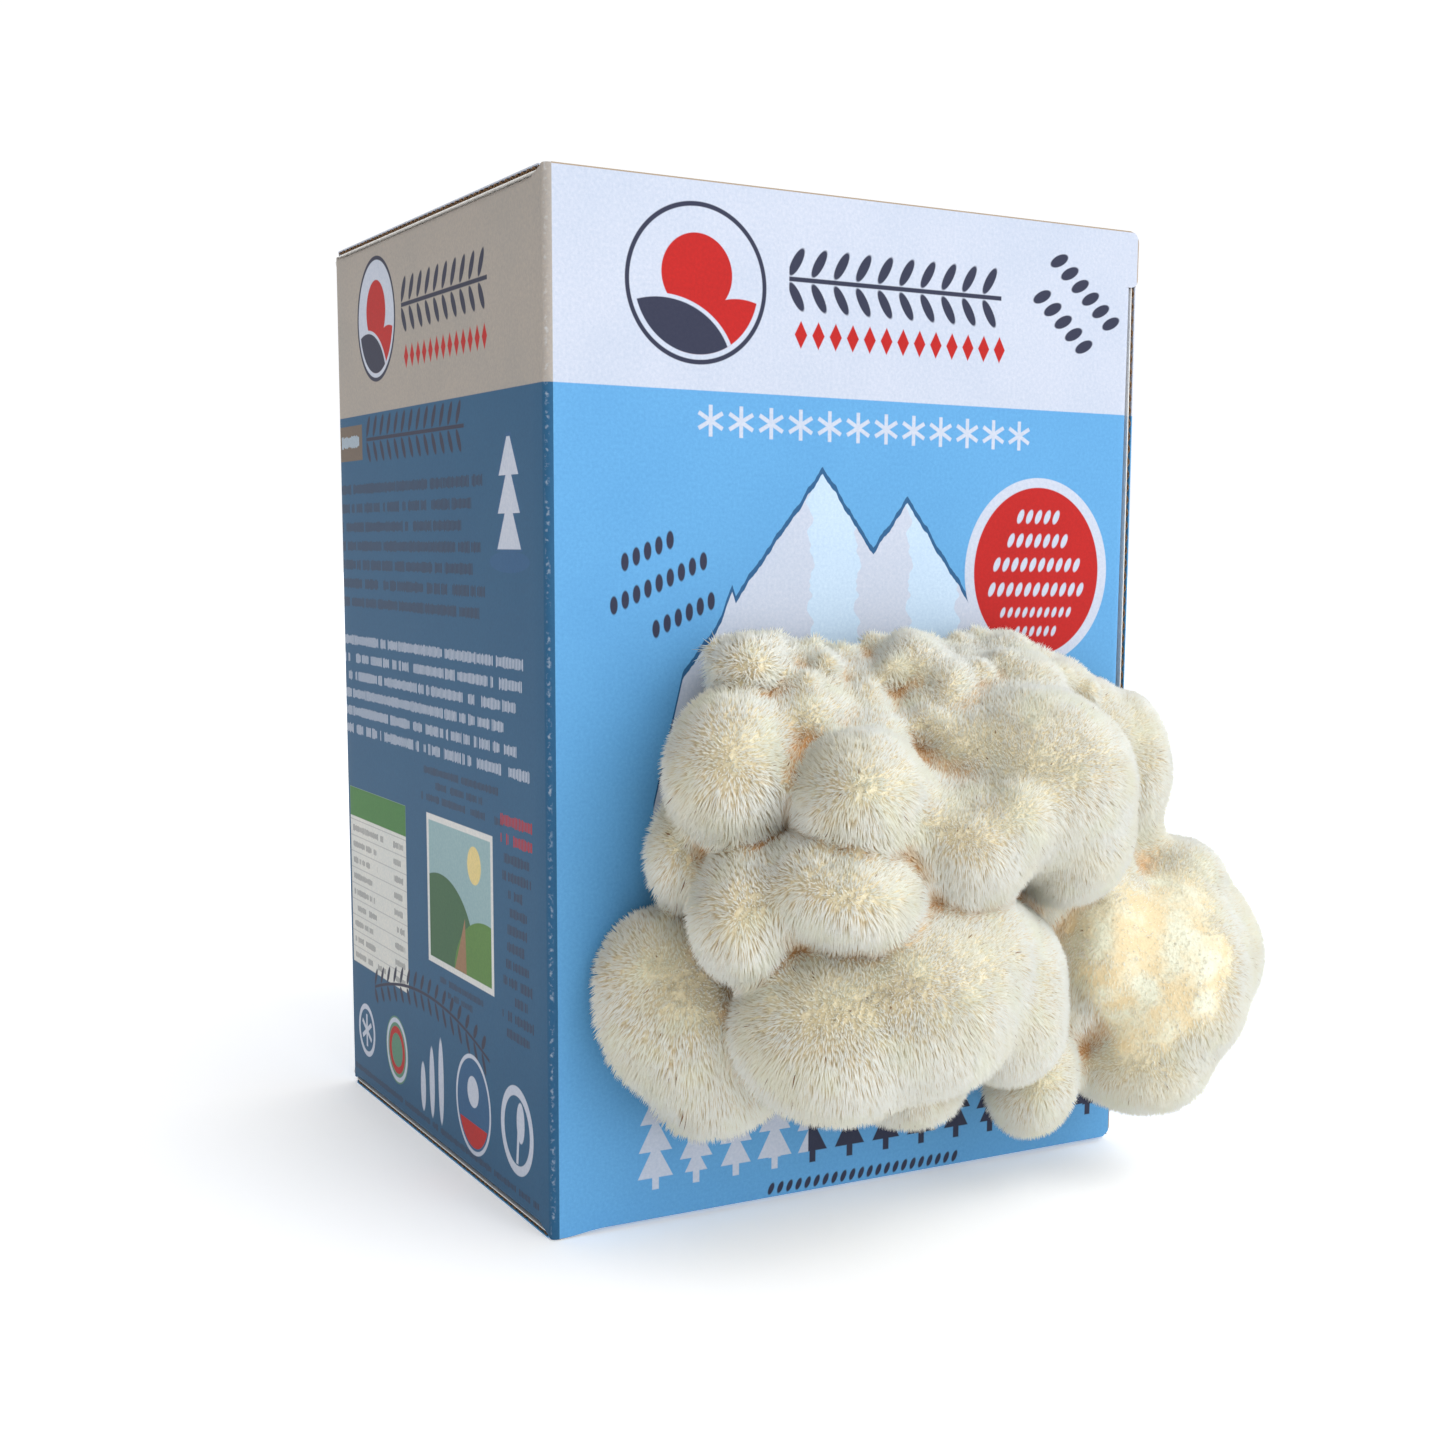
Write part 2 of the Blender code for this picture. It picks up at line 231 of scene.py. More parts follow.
# The mushroom: lobes are grouped, each group is rounded off into one soft form, and the groups are
# then fused with sharp creases between them. Each lobe: middle (x, y, z), half sizes (across, deep,
# high), tilt in degrees. Each group: passes of rounding, lobes.
lobes = {
    "lowerMiddle": (8, (
        ((-36, -128, 58.5), (23, 25, 22), -8), ((-17, -130, 64), (26, 29, 24), 0),
        ((2, -125, 71), (18, 27, 17.5), 0), ((17, -120, 59), (16.5, 27, 22), -4))),
    "lowerLeft": (6, (((-56, -93, 56), (19.5, 21, 27), -30), ((-46, -94, 40), (17, 18, 14), -24))),
    "underside": (5, (((2, -100, 35), (16.5, 22, 11.5), 0), ((40, -102, 31), (12.5, 20, 15.5), 15))),
    "leftEdge": (4, (((-56, -93, 95), (8.8, 16, 13.5), 0),)),
    "leftRound": (6, (
        ((-52, -115, 84.5), (12.5, 24, 15.5), -8), ((-35, -130, 91), (19.5, 27, 12.5), 12))),
    "upperLeft": (5, (
        ((-50, -105, 115.5), (16, 25, 18.5), 0), ((-29, -104, 127), (11.5, 19, 10), 0),
        ((-13, -104, 125), (8, 16, 8.5), 0))),
    "upperLeftMiddle": (5, (((-29, -127, 111), (16, 25, 16), 0), ((-18, -113, 121), (10, 18, 8.5), 0))),
    "upperMiddle": (8, (
        ((22.5, -118, 111), (28, 31, 23.5), 0), ((-2, -128, 99), (18, 27, 15), 14),
        ((38, -116, 98), (17, 27, 19), 0), ((8, -113, 121), (12, 22, 9), 0),
        ((9, -131, 106), (13, 24, 11), 20), ((-15, -125, 105), (13, 22, 12.5), 10),
        ((0, -109, 125), (9, 17, 8), 0))),
    "shoulder": (6, (((74, -94, 109.5), (13.0, 20, 20.5), 0), ((62, -96, 114), (13, 18, 15), 0))),
    "farRight": (12, (
        ((78, -107, 55), (24.5, 27, 29), 0), ((87, -98, 80), (16.5, 19, 10.5), 0),
        ((99, -104, 59), (13.6, 22, 18), 0), ((72, -106, 32), (20, 24, 14), 0),
        ((58, -106, 66), (15, 22, 21), 0))),
    "topLeft": (3, (((-41, -97, 138), (10, 15, 8.5), 0), ((-29, -92, 138), (7, 12, 6.5), 0))),
    "topDip": (2, (((-20, -94, 136), (6, 12, 6), 0), ((-10, -98, 132), (5.5, 12, 7), 0))),
    "topMiddle": (2, (((3, -97, 138), (9.5, 15, 8), 0), ((7, -107, 132), (8, 15, 8.5), 0))),
    "topRight": (3, (
        ((20, -94, 137), (7.5, 13, 6), 0), ((35, -91, 138.5), (9.5, 14, 7.3), 0),
        ((32, -103, 131), (12, 18, 10), 0))),
    "topEdge": (3, (((51, -93, 131), (10, 15, 8), 0), ((64, -91, 125.5), (9, 15, 8.5), 0))),
    "heart": (0, (
        ((-22, -95, 88), (38, 20, 42), 0), ((20, -94, 98), (42, 20, 34), 0),
        ((42, -94, 66), (36, 17, 33), 0), ((-5, -94, 52), (36, 15, 22), 0),
        ((66, -92, 86), (20, 12, 26), 0), ((54, -92, 112), (17, 13, 17), 0))),
}
# Small buds along the top row: middle and radius
buds = (
    ((-47, -92, 142), 3.6), ((-36, -98, 144), 3.2), ((-29, -88, 144), 3.4), ((-24, -96, 142), 3.6),
    ((-17, -86, 143), 3.2), ((-13, -92, 140), 4.2), ((-4, -90, 143), 3.6), ((5, -92, 144), 3.2),
    ((12, -92, 142), 3.6), ((22, -90, 142), 3.8), ((29, -88, 144), 3.4), ((39, -88, 143), 3.4),
    ((45, -94, 138), 4.0), ((54, -90, 136), 3.6), ((61, -88, 133), 3.4), ((69, -90, 129), 3.6),
    ((-33, -110, 135), 4.2), ((-25, -104, 139), 4.0), ((-16, -108, 131), 4.4), ((-7, -106, 137), 4.2),
    ((-4, -113, 129), 4.0), ((14, -110, 136), 4.2), ((24, -107, 138), 4.4), ((22, -115, 131), 4.0),
    ((43, -104, 134), 4.4), ((52, -104, 130), 4.2), ((62, -100, 125), 4.2), ((-46, -106, 138), 3.8),
)
mushroom = {
    "yaw": -30,              # the lobes' broad sides face the front left
    "lidFace": -80.4,        # the mushroom lies flat against the lid behind this
    "swell": 0.5,            # rounding off a group shrinks it by about as much
    "spineRoom": 1.9,        # from the flesh out to the lobes' full size
    "groupVoxel": 1.7,
    "voxel": 1.35,
    "creaseFill": 0.35,
    "swellSize": 15.0,       # broad swellings, then lumps, then fine ones: size and height
    "swellHeight": 0.9,
    "lumpSize": 6.0,
    "lumpHeight": 0.35,
    "neckRadius": 39.2,
    # y of each ring of the neck, and its share of the radius
    "neckRings": (
        (-81.2, 0.02), (-81.2, 1.0), (-79.0, 1.0), (-76.0, 0.995), (-73.5, 0.985), (-72.2, 0.97),
        (-71.4, 0.94), (-71.4, 0.02)),
    "window": (3, 88),
    "waxy": ((62, -124, 62), (20, 24, 25)),     # smooth pale-yellow skin: middle and half sizes
}


def ellipsoids(members):
    # middle + yaw turn x tilt turn x (half sizes x the point of a unit sphere)
    rings, spokes = 33, 48
    up = np.radians(np.repeat(np.linspace(-90, 90, rings), spokes))
    around = np.radians(np.tile(np.arange(spokes) * 360 / spokes, rings))
    ball = np.stack((np.cos(up) * np.cos(around), np.cos(up) * np.sin(around), np.sin(up)), -1)
    yaw = np.array(Matrix.Rotation(math.radians(mushroom["yaw"]), 3, "Z"))
    shells = []
    for middle, sizes, tilt in members:
        turn = yaw @ np.array(Matrix.Rotation(math.radians(tilt), 3, "Y"))
        points = np.array(middle) + (ball * (np.array(sizes, float) + mushroom["swell"])) @ turn.T
        shells.append((points, gridQuads(rings, spokes, closed=True), 0))
    return shells


def fusedMesh(name, shells, voxel):
    # The shells' union as one skin of quads: (points in mm, faces)
    rough = makePiece(name, shells, [])
    fuse = rough.modifiers.new("fuse", "REMESH")
    fuse.mode = "VOXEL"
    fuse.voxel_size = voxel * mm
    ready = rough.evaluated_get(bpy.context.evaluated_depsgraph_get()).to_mesh()
    points = np.empty(len(ready.vertices) * 3, np.float32)
    corners = np.empty(len(ready.loops), np.int32)
    ready.vertices.foreach_get("co", points)
    ready.loops.foreach_get("vertex_index", corners)
    bpy.data.objects.remove(rough, do_unlink=True)
    return points.reshape(-1, 3).astype(float) / mm, corners.reshape(-1, 4)


def neighbourMean(values, quads):
    # Each vertex's average over its neighbours along the quads' edges
    start = quads.ravel()
    end = np.roll(quads, -1, axis=1).ravel()
    count = np.bincount(start, minlength=len(values))
    sums = [np.bincount(start, column[end], len(values)) for column in values.reshape(len(values), -1).T]
    return (np.array(sums) / np.maximum(count, 1)).T.reshape(values.shape)


def softened(values, quads, passes):
    for _ in range(passes):
        values = (values + neighbourMean(values, quads)) / 2
    return values


def vertexNormals(points, quads):
    # The faces' crossed diagonals, summed at each corner
    a, b, c, d = (points[quads[:, k]] for k in range(4))
    cross = np.cross(c - a, d - b)
    sums = [np.bincount(quads.ravel(), np.repeat(part, 4), len(points)) for part in cross.T]
    return unit(np.array(sums).T)


def growFlesh():
    # Every group fused and rounded off, all groups fused together, then drawn in to leave the
    # spines their room. The crease value is how far a point lies below the broad form around it.
    forms = []
    for name, (passes, members) in lobes.items():
        points, quads = fusedMesh(name, ellipsoids(members), mushroom["groupVoxel"])
        forms.append((softened(points, quads, passes), quads, 0))
    forms += ellipsoids([(middle, (r, r, r), 0) for middle, r in buds])
    points, quads = fusedMesh("flesh", forms, mushroom["voxel"])
    points = softened(points, quads, 2)
    normals = vertexNormals(points, quads)
    crease = np.sum((softened(points, quads, 40) - points) * normals, axis=1)
    lump = lumpNoise(points, mushroom["lumpSize"], 11) + 0.5 * lumpNoise(points, 2.6, 12)
    lump *= mushroom["lumpHeight"]
    lump += lumpNoise(points, mushroom["swellSize"], 13) * mushroom["swellHeight"]
    depth = mushroom["spineRoom"] - mushroom["creaseFill"] * np.clip(crease, 0, 4)
    points += normals * (lump - depth)[:, None]
    points[:, 1] = np.minimum(points[:, 1], mushroom["lidFace"])
    points = softened(points, quads, 1)
    return points, quads, softened(vertexNormals(points, quads), quads, 2), crease


fleshPoints, fleshQuads, fleshNormals, fleshCrease = growFlesh()
waxMiddle, waxSize = mushroom["waxy"]
fleshWax = 1.25 - np.linalg.norm((fleshPoints - waxMiddle) / waxSize, axis=1)
fleshWax = eased(fleshWax + 0.35 * lumpNoise(fleshPoints, 8.0, 41), 0.0, 0.5)
print("flesh:", len(fleshQuads) * 2, "triangles")

spineLook = {
    "count": 236000,
    "length": (1.6, 3.1),     # on top of a lobe, and hanging from its underside
    "width": (0.40, 0.64),    # fine on the right, coarser on the left lobes
    "coarse": (-5, -60),      # x from which the spines coarsen, and where they are coarsest
    "droop": (0.10, 0.95),    # how hard gravity pulls, on top and underneath
    "stray": (0.10, 0.30),    # how untidy, below and in the ragged top row
    "ragged": (126, 140),     # heights where the top row begins, and where it is at its most ragged
    "roundness": 1.5,         # 0 shades a spine as the skin below it, more shades it as a round one
    "tuftSize": 2.6,          # spines this close together lean the same way
    "tuftLean": 0.16,
    "seed": 5,
}


def sampleSkin(points, quads, normals, extras, weights, count, random):
    # Random places on the skin, in proportion to each quad's area times its weight
    a, b, c, d = (points[quads[:, k]] for k in range(4))
    area = np.linalg.norm(np.cross(c - a, d - b), axis=1) * weights
    chosen = random.choice(len(quads), count, p=area / area.sum())
    u, v = random.random(count), random.random(count)
    shares = np.stack(((1 - u) * (1 - v), u * (1 - v), u * v, (1 - u) * v), axis=1)
    corner = quads[chosen]

    def at(values):
        return np.einsum("nk,nk...->n...", shares, values[corner])

    return at(points), unit(at(normals)), [at(extra) for extra in extras]


def spineShell(roots, tips, widths, skin):
    # Slim three-sided spines: a ring of three points round the root, square to the way to the tip.
    # Their shading leans towards the skin's own normals, as light that passes through them would.
    along = unit(tips - roots)
    side = unit(np.cross(along, np.roll(along, 1, axis=1) + 0.01))
    other = np.cross(along, side)
    angle = np.radians([0, 120, 240])
    ring = np.cos(angle)[None, :, None] * side[:, None] + np.sin(angle)[None, :, None] * other[:, None]
    points = np.concatenate((roots[:, None] + ring * (widths / 2)[:, None, None], tips[:, None]), axis=1)
    faces = np.array([(0, 1, 3), (1, 2, 3), (2, 0, 3), (2, 1, 0)])
    faces = faces + np.arange(len(roots))[:, None, None] * 4
    leaning = np.concatenate((ring * spineLook["roundness"], along[:, None] * 0.5), axis=1) + skin[:, None]
    return (points.reshape(-1, 3), faces.reshape(-1, 3), 0), unit(leaning).reshape(-1, 3)


random = np.random.default_rng(spineLook["seed"])
quadNormal = fleshNormals[fleshQuads].mean(axis=1)
quadDepth = fleshPoints[fleshQuads][:, :, 1].max(axis=1)
facing = 1.0 - 0.75 * eased(quadNormal[:, 1], 0.1, 0.6)
facing *= quadDepth < mushroom["lidFace"] - 0.5
facing *= 1 - 0.9 * fleshWax[fleshQuads].mean(axis=1)
facing *= 1 - 0.5 * eased(-fleshPoints[fleshQuads[:, 0], 0], *(-v for v in spineLook["coarse"]))
roots, normals, (crease, wax) = sampleSkin(
    fleshPoints, fleshQuads, fleshNormals, [fleshCrease, fleshWax], facing, spineLook["count"], random
)
under = eased(-normals[:, 2], -0.55, 0.5)       # 0 on top of a lobe, 1 on its underside
lean = np.stack([lumpNoise(roots, spineLook["tuftSize"], 20 + k) for k in range(3)], axis=1)
pull = np.interp(under, (0, 1), spineLook["droop"])
down = np.array((0.0, -0.12, -1.0))
directions = normals + pull[:, None] * down + lean * spineLook["tuftLean"]
ragged = eased(roots[:, 2], *spineLook["ragged"])
stray = np.interp(ragged, (0, 1), spineLook["stray"])
directions = unit(directions + random.normal(0, 1, (len(roots), 3)) * stray[:, None])
# a spine that would run into the flesh is lifted until it clears it
into = np.sum(directions * normals, axis=1)
directions = unit(directions + normals * np.maximum(0.35 - into, 0)[:, None])
lengths = np.interp(under, (0, 1), spineLook["length"]) * random.uniform(0.7, 1.15, len(roots))
coarse = eased(-roots[:, 0], *(-v for v in spineLook["coarse"]))
lengths *= (1 - 0.35 * eased(crease, 0.6, 2.0)) * (1 - 0.5 * wax)
lengths *= (1 + 0.3 * coarse) * (1 + 0.25 * ragged)
widths = np.interp(coarse, (0, 1), spineLook["width"]) * random.uniform(0.75, 1.2, len(roots))
tips = roots + directions * lengths[:, None]
tips[:, 1] = np.minimum(tips[:, 1], mushroom["lidFace"] + 0.2)
roots -= normals * 0.2
shade = random.uniform(0, 1, len(roots))
print("spines:", len(roots))


def creamSpines():
    # Cream spines, tan at the root; orange-tan in the creases, partly the mushroom's own tint and partly
    # painted shade; a few of them orange or brown
    look = Finish("mushroomSpines", 0.78, Specular_IOR_Level=0.2)
    along = look.attribute("along")
    hollow = look.attribute("hollow")
    shadeOf = look.attribute("shade")
    spot = look.place()
    patch = look.noise(spot, 16.0)
    yellow = look.noise(spot, 9.0, detail=1.0)
    colour = look.paint((0.78, 0.64, 0.40), (0.97, 0.97, 0.88), between(along, 0.08, 0.60))
    colour = look.paint(colour, (0.92, 0.88, 0.68), between(patch, 0.46, 0.66) * 0.5)
    colour = look.paint(colour, (0.94, 0.95, 0.74), between(yellow, 0.50, 0.70) * 0.4)
    # painted shade, partly the mushroom's own tint: spines in deep creases turn orange-tan, most of all at
    # the root
    deep = between(hollow + shadeOf * 0.6, 0.9, 2.3)
    colour = look.paint(colour, (0.80, 0.50, 0.22), deep * (1.0 - along * 0.5))
    colour = look.paint(colour, (0.80, 0.66, 0.44), between(shadeOf, 0.75, 1.0) * 0.25)
    few = between(shadeOf, 0.9972, 0.9974)
    colour = look.paint(colour, (0.30, 0.16, 0.07), few * between(patch, 0.42, 0.50))
    return look.finish(Base_Color=colour)


def tanFlesh():
    # Tan skin; orange-brown in the creases, partly the mushroom's own tint and partly painted shade; pale
    # yellow and a little glossy where it is waxy
    look = Finish("mushroomFlesh", 0.8, Specular_IOR_Level=0.35)
    hollow = look.attribute("hollow")
    wax = look.attribute("waxy")
    spot = look.place()
    grain = look.noise(spot, 0.9, detail=3.0)
    patch = look.noise(spot, 9.0)
    colour = look.paint((0.70, 0.60, 0.39), (0.82, 0.75, 0.55), between(grain, 0.35, 0.65))
    colour = look.paint(colour, (0.84, 0.79, 0.60), between(patch, 0.4, 0.7) * 0.5)
    # painted shade, partly the flesh's own tint: orange-brown where the crease value is deep
    colour = look.paint(colour, (0.60, 0.29, 0.10), between(hollow + grain * 0.8, 0.7, 2.0) * 0.85)
    waxTone = look.paint((0.80, 0.80, 0.63), (0.76, 0.61, 0.36), between(patch + grain * 0.3, 0.52, 0.76))
    colour = look.paint(colour, waxTone, wax * 0.9)
    relief = look.noise(spot, 0.8, detail=2.0) + look.noise(spot, 5.0, detail=2.0) * wax * 2.0
    return look.finish(Base_Color=colour, Roughness=0.8 - wax * 0.25, Normal=look.bump(relief, 0.6, 0.6))


spineFinish = creamSpines()
fleshFinish = tanFlesh()
flesh = makePiece("mushroom_flesh", [(fleshPoints, fleshQuads, 0)], [fleshFinish])
addValues(flesh, "hollow", fleshCrease)
addValues(flesh, "waxy", fleshWax)
ridesFor(flesh, "fruit_body")

# five bands of spines from the top down, so that none is too large a piece
order = np.argsort(-roots[:, 2], kind="stable")
bands = ("crown", "upper", "middle", "lower", "underside")
for partName, chosen in zip(bands, np.array_split(order, len(bands))):
    shell, shading = spineShell(roots[chosen], tips[chosen], widths[chosen], normals[chosen])
    band = makePiece("spines_" + partName, [shell], [spineFinish], shading)
    addValues(band, "along", np.tile((0, 0, 0, 1.0), len(chosen)))
    addValues(band, "hollow", np.repeat(crease[chosen], 4))
    addValues(band, "shade", np.repeat(shade[chosen], 4))
    ridesFor(band, None)


def addNeck():
    # Through the lid's window: rings of radius x share, from behind the mushroom to the bag
    x0, z0 = mushroom["window"]
    y, share = np.array(mushroom["neckRings"]).T
    spokes = 72
    angle = np.linspace(0, 2 * np.pi, spokes, endpoint=False)
    radius = mushroom["neckRadius"] * share[:, None]
    grid = gridOf(x0 + radius * np.cos(angle), y[:, None], z0 + radius * np.sin(angle))
    count = len(y) * spokes
    shells = [(grid, gridQuads(len(y), spokes, closed=True)[:, ::-1], 0)]
    # the two caps have no points of their own, so they count back to the rings'
    for cap in (np.arange(spokes)[None] - count, np.arange(spokes)[None, ::-1] - spokes):
        shells.append((np.zeros((0, 3)), cap, 0))
    neck = makePiece("mushroom_neck", shells, [fleshFinish])
    # a shallow crease value, so the painted crease shade tints the neck a little
    addValues(neck, "hollow", np.full(count, 0.4))
    addValues(neck, "waxy", np.zeros(count))
    ridesFor(neck, None)


addNeck()
print("mushroom done")

# The carton: printed corrugated board, folded round and tucked in at the right

carton = {
    "halfWidth": 85.0,
    "halfDepth": 80.0,
    "height": 250.0,
    "board": 1.6,
    "liner": 0.3,             # each of the board's two papers
    "fold": 2.0,              # outside radius of the upright folds
    "rearFold": 3.5,          # where the rear panel turns into the top and the bottom
    "roll": 1.7,              # the side walls' ends roll in under the top and the bottom
    "wallEnd": 1.7,           # from the top or bottom down to the side walls' ends
    "crease": 80.9,           # x where the lid's tuck flap starts to turn
    "tuckFold": 2.4,
    "tuckDepth": 57.0,
    "ear": 14.5,
    "earRound": (3.0, 2.0),   # the ears' outer and inner corners
    "window": (3.0, 88.0, 40.0),
    "lidLift": 1.2,           # the lid's lower edge hangs this high, and its left corner lower
    "bow": 0.9,               # how far the right wall bulges
    "tickPitch": 0.95,        # between two ticks of the printed rows
    "flutePitch": 3.4,
    "fluteDepth": 7.0,
}
frontInk, rawBoard, lining, sideInk, plainInk, rearInk, rightInk = range(7)      # material numbers


def gridNormals(grid):
    # Crossed slopes of the grid along its columns and its rows, turned to point out of the carton
    normals = unit(np.cross(np.gradient(grid, axis=1), np.gradient(grid, axis=0)))
    row = len(grid) // 2
    outward = (grid[row, 0] - np.array((0, 0, carton["height"] / 2))) @ normals[row, 0]
    return normals if outward > 0 else -normals


def slabBetween(outer, inner, finish, closed=False):
    # A closed slab from an outer grid and the same grid further in, with its rims
    rows, columns = outer.shape[:2]
    count = rows * columns
    front = gridQuads(rows, columns, closed)
    back = front[:, ::-1] + count
    number = np.arange(count).reshape(rows, columns)
    if closed:
        loops = [number[0], number[-1][::-1]]
    else:
        loops = [np.concatenate((number[0, :-1], number[:-1, -1], number[-1, :0:-1], number[:0:-1, 0]))]
    rims = []
    for loop in loops:
        after = np.roll(loop, -1)
        rims.append(np.stack((after, loop, loop + count, after + count), axis=-1))
    points = np.concatenate((outer.reshape(-1, 3), inner.reshape(-1, 3)))
    return points, np.concatenate((front, back, *rims)), finish


def quarterTurn(middle, radius, start, end, steps=8):
    # Points of an arc in a plane, from one angle to another in degrees
    angle = np.radians(np.linspace(start, end, steps + 1))
    return np.stack((middle[0] + radius * np.cos(angle), middle[1] + radius * np.sin(angle)), axis=-1)


def bowed(points):
    # The right wall bulges by bow x sin(pi z / height), most of all towards the lid
    rise = np.sin(np.pi * np.clip(points[..., 2] / carton["height"], 0, 1))
    nearLid = eased(-points[..., 1], -60.0, 60.0) * (points[..., 0] > carton["halfWidth"] - 8)
    moved = points.copy()
    moved[..., 0] += carton["bow"] * rise * nearLid
    return moved


def lidLow(x):
    # The lid's lower edge, which drops towards its left corner
    return carton["lidLift"] * eased(x, -85.0, -70.0) + 0.08


def lidFace():
    # Rays from the window's rim out to the lid's outline: rim x (1 - share) + outline x share
    x0, z0, radius = carton["window"]
    left, right, top = -carton["halfWidth"] + carton["fold"], carton["crease"], carton["height"]
    ear = carton["ear"]
    z = np.r_[np.linspace(0, ear, 4), np.linspace(ear, top - ear, 40)[1:-1], np.linspace(top - ear, top, 4)]
    x = np.linspace(left, right, 41)
    low = np.stack((x[:-1], lidLow(x[:-1])), -1)
    rightSide = np.stack((np.full(len(z) - 1, right), np.maximum(z[:-1], lidLow(right))), -1)
    high = np.stack((x[:0:-1], np.full(len(x) - 1, top)), -1)
    leftSide = np.stack((np.full(len(z) - 1, left), np.maximum(z[:0:-1], lidLow(left))), -1)
    outline = np.concatenate((low, rightSide, high, leftSide))
    angle = np.arctan2(outline[:, 1] - z0, outline[:, 0] - x0)
    rim = np.stack((x0 + radius * np.cos(angle), z0 + radius * np.sin(angle)), -1)
    share = np.linspace(0, 1, 9)[:, None, None]
    flat = rim[None] * (1 - share) + outline[None] * share
    return gridOf(flat[..., 0], -carton["halfDepth"], flat[..., 1])[:, ::-1], np.array((0.0, -1.0, 0.0))


def earFace(top):
    # The lid's ear: from the crease to its free edge, with an outer and an inner round corner
    ear, (outerRound, innerRound) = carton["ear"], carton["earRound"]
    straight = np.linspace(innerRound, ear - outerRound, 5)
    up = np.r_[np.linspace(0, innerRound, 7), straight[1:-1], np.linspace(straight[-1], ear, 9)]
    inner = np.clip(innerRound - up, 0, innerRound)
    outer = np.clip(up - (ear - outerRound), 0, outerRound)
    back = innerRound - np.sqrt(innerRound ** 2 - inner ** 2)
    back += outerRound - np.sqrt(outerRound ** 2 - outer ** 2)
    end = carton["halfWidth"] - back
    x = carton["crease"] + (end[:, None] - carton["crease"]) * np.linspace(0, 1, 7)
    z = carton["height"] - ear + up if top else ear - up * (ear - lidLow(80.0)) / ear
    return gridOf(x, -carton["halfDepth"], z[:, None]), np.array((0.0, -1.0, 0.0))


def wallsFace():
    # One strip round the carton: the left fold, the left wall, the rear and the right wall.
    # A column is a place on the plan; a row rises from the rolled lower end to the rolled upper one.
    w, d, r = carton["halfWidth"], carton["halfDepth"], carton["fold"]
    left = np.stack((np.full(24, -w), np.linspace(-d + r, d - r, 24)), -1)
    rear = np.stack((np.linspace(-w + r, w - r, 24), np.full(24, d)), -1)
    right = np.stack((np.full(24, w), np.linspace(d - r, -d + 1.0, 24)), -1)
    plan = np.concatenate((
        quarterTurn((-w + r, -d + r), r, 270, 180), left[1:],
        quarterTurn((-w + r, d - r), r, 180, 90)[1:], rear[1:],
        quarterTurn((w - r, d - r), r, 90, 0)[1:], right[1:],
    ))
    step = np.gradient(plan, axis=0)
    outward = unit(np.stack((-step[:, 1], step[:, 0]), -1)) * -1
    outward = np.where((outward * plan).sum(-1, keepdims=True) < 0, -outward, outward)
    # the lid's own end stays open; a wall's ends roll in
    walled = np.where(plan[:, 0] > 0, 1.0, eased(plan[:, 1], -d + 0.5, -d + 5.0))
    walled = np.clip(walled * (1 - eased(plan[:, 1], d - 3.0, d - 0.4)), 0.04, 1)
    corner = np.clip(plan[:, 1] - (d - carton["rearFold"]), 0, carton["rearFold"])
    drop = carton["rearFold"] - np.sqrt(carton["rearFold"] ** 2 - corner ** 2)
    low = lidLow(plan[:, 0]) * (1 - walled) + carton["wallEnd"] * walled + drop
    high = carton["height"] - carton["wallEnd"] * walled - drop
    turn = np.radians(np.linspace(-90, 0, 6))
    roll = carton["roll"]
    # each row: share of the way up, millimetres added to that, millimetres inwards
    rise, inset = np.r_[0, roll + roll * np.sin(turn)], np.r_[roll + 5, roll - roll * np.cos(turn)]
    lowRows = gridOf(0.0, rise, inset)
    faceRows = gridOf(np.linspace(0, 1, 22)[1:-1], 0.0, 0.0)
    highRows = lowRows[::-1] * np.array((1, -1, 1)) + np.array((1, 0, 0))
    rows = np.concatenate((lowRows, faceRows, highRows))
    z = low[None] + (high - low)[None] * rows[:, :1] + rows[:, 1:2] * walled[None]
    inward = rows[:, 2:] * walled[None]
    place = plan[None] - outward[None] * inward[..., None]
    grid = bowed(np.concatenate((place, z[..., None]), -1))
    return grid, gridNormals(grid)


def endFace(top):
    # The top or the bottom: up the rear fold, forward, over the roll behind the lid and back inside
    r, d, board = carton["rearFold"], carton["halfDepth"], carton["board"]
    front = -d + board + 0.1
    forward = np.stack((np.linspace(d - r, front + board, 30), np.full(30, 0.0)), -1)
    inside = np.stack((np.linspace(front + board, 70.0, 16), np.full(16, -2 * board)), -1)
    path = np.concatenate((
        quarterTurn((d - r, -r), r, 0, 90), forward[1:],
        quarterTurn((front + board, -board), board, 90, 270)[1:], inside[1:],
    ))
    away = np.arange(len(path))
    half = np.where(away < 9, carton["halfWidth"] - 2.0 + 1.9 * away / 8, carton["halfWidth"] - 0.1)
    half = np.where(path[:, 1] < -board, carton["halfWidth"] - 4.0, half)
    x = np.linspace(-1, 1, 30)[:, None] * half
    grid = gridOf(x, path[:, 0], carton["height"] + path[:, 1] if top else -path[:, 1])
    return grid, gridNormals(grid)


def tuckFace():
    # The tuck flap: round the fold at the lid's crease and back along the right wall
    d, r = carton["halfDepth"], carton["tuckFold"]
    turnX = carton["crease"]
    back = np.stack((np.full(12, turnX + r), np.linspace(-d + r, -d + carton["tuckDepth"], 12)), -1)
    path = np.concatenate((quarterTurn((turnX, -d + r), r, 270, 360, 10), back[1:]))
    z = np.linspace(carton["ear"], carton["height"] - carton["ear"], 40)[:, None]
    grid = gridOf(path[:, 0], path[:, 1], z)
    return grid, gridNormals(grid)


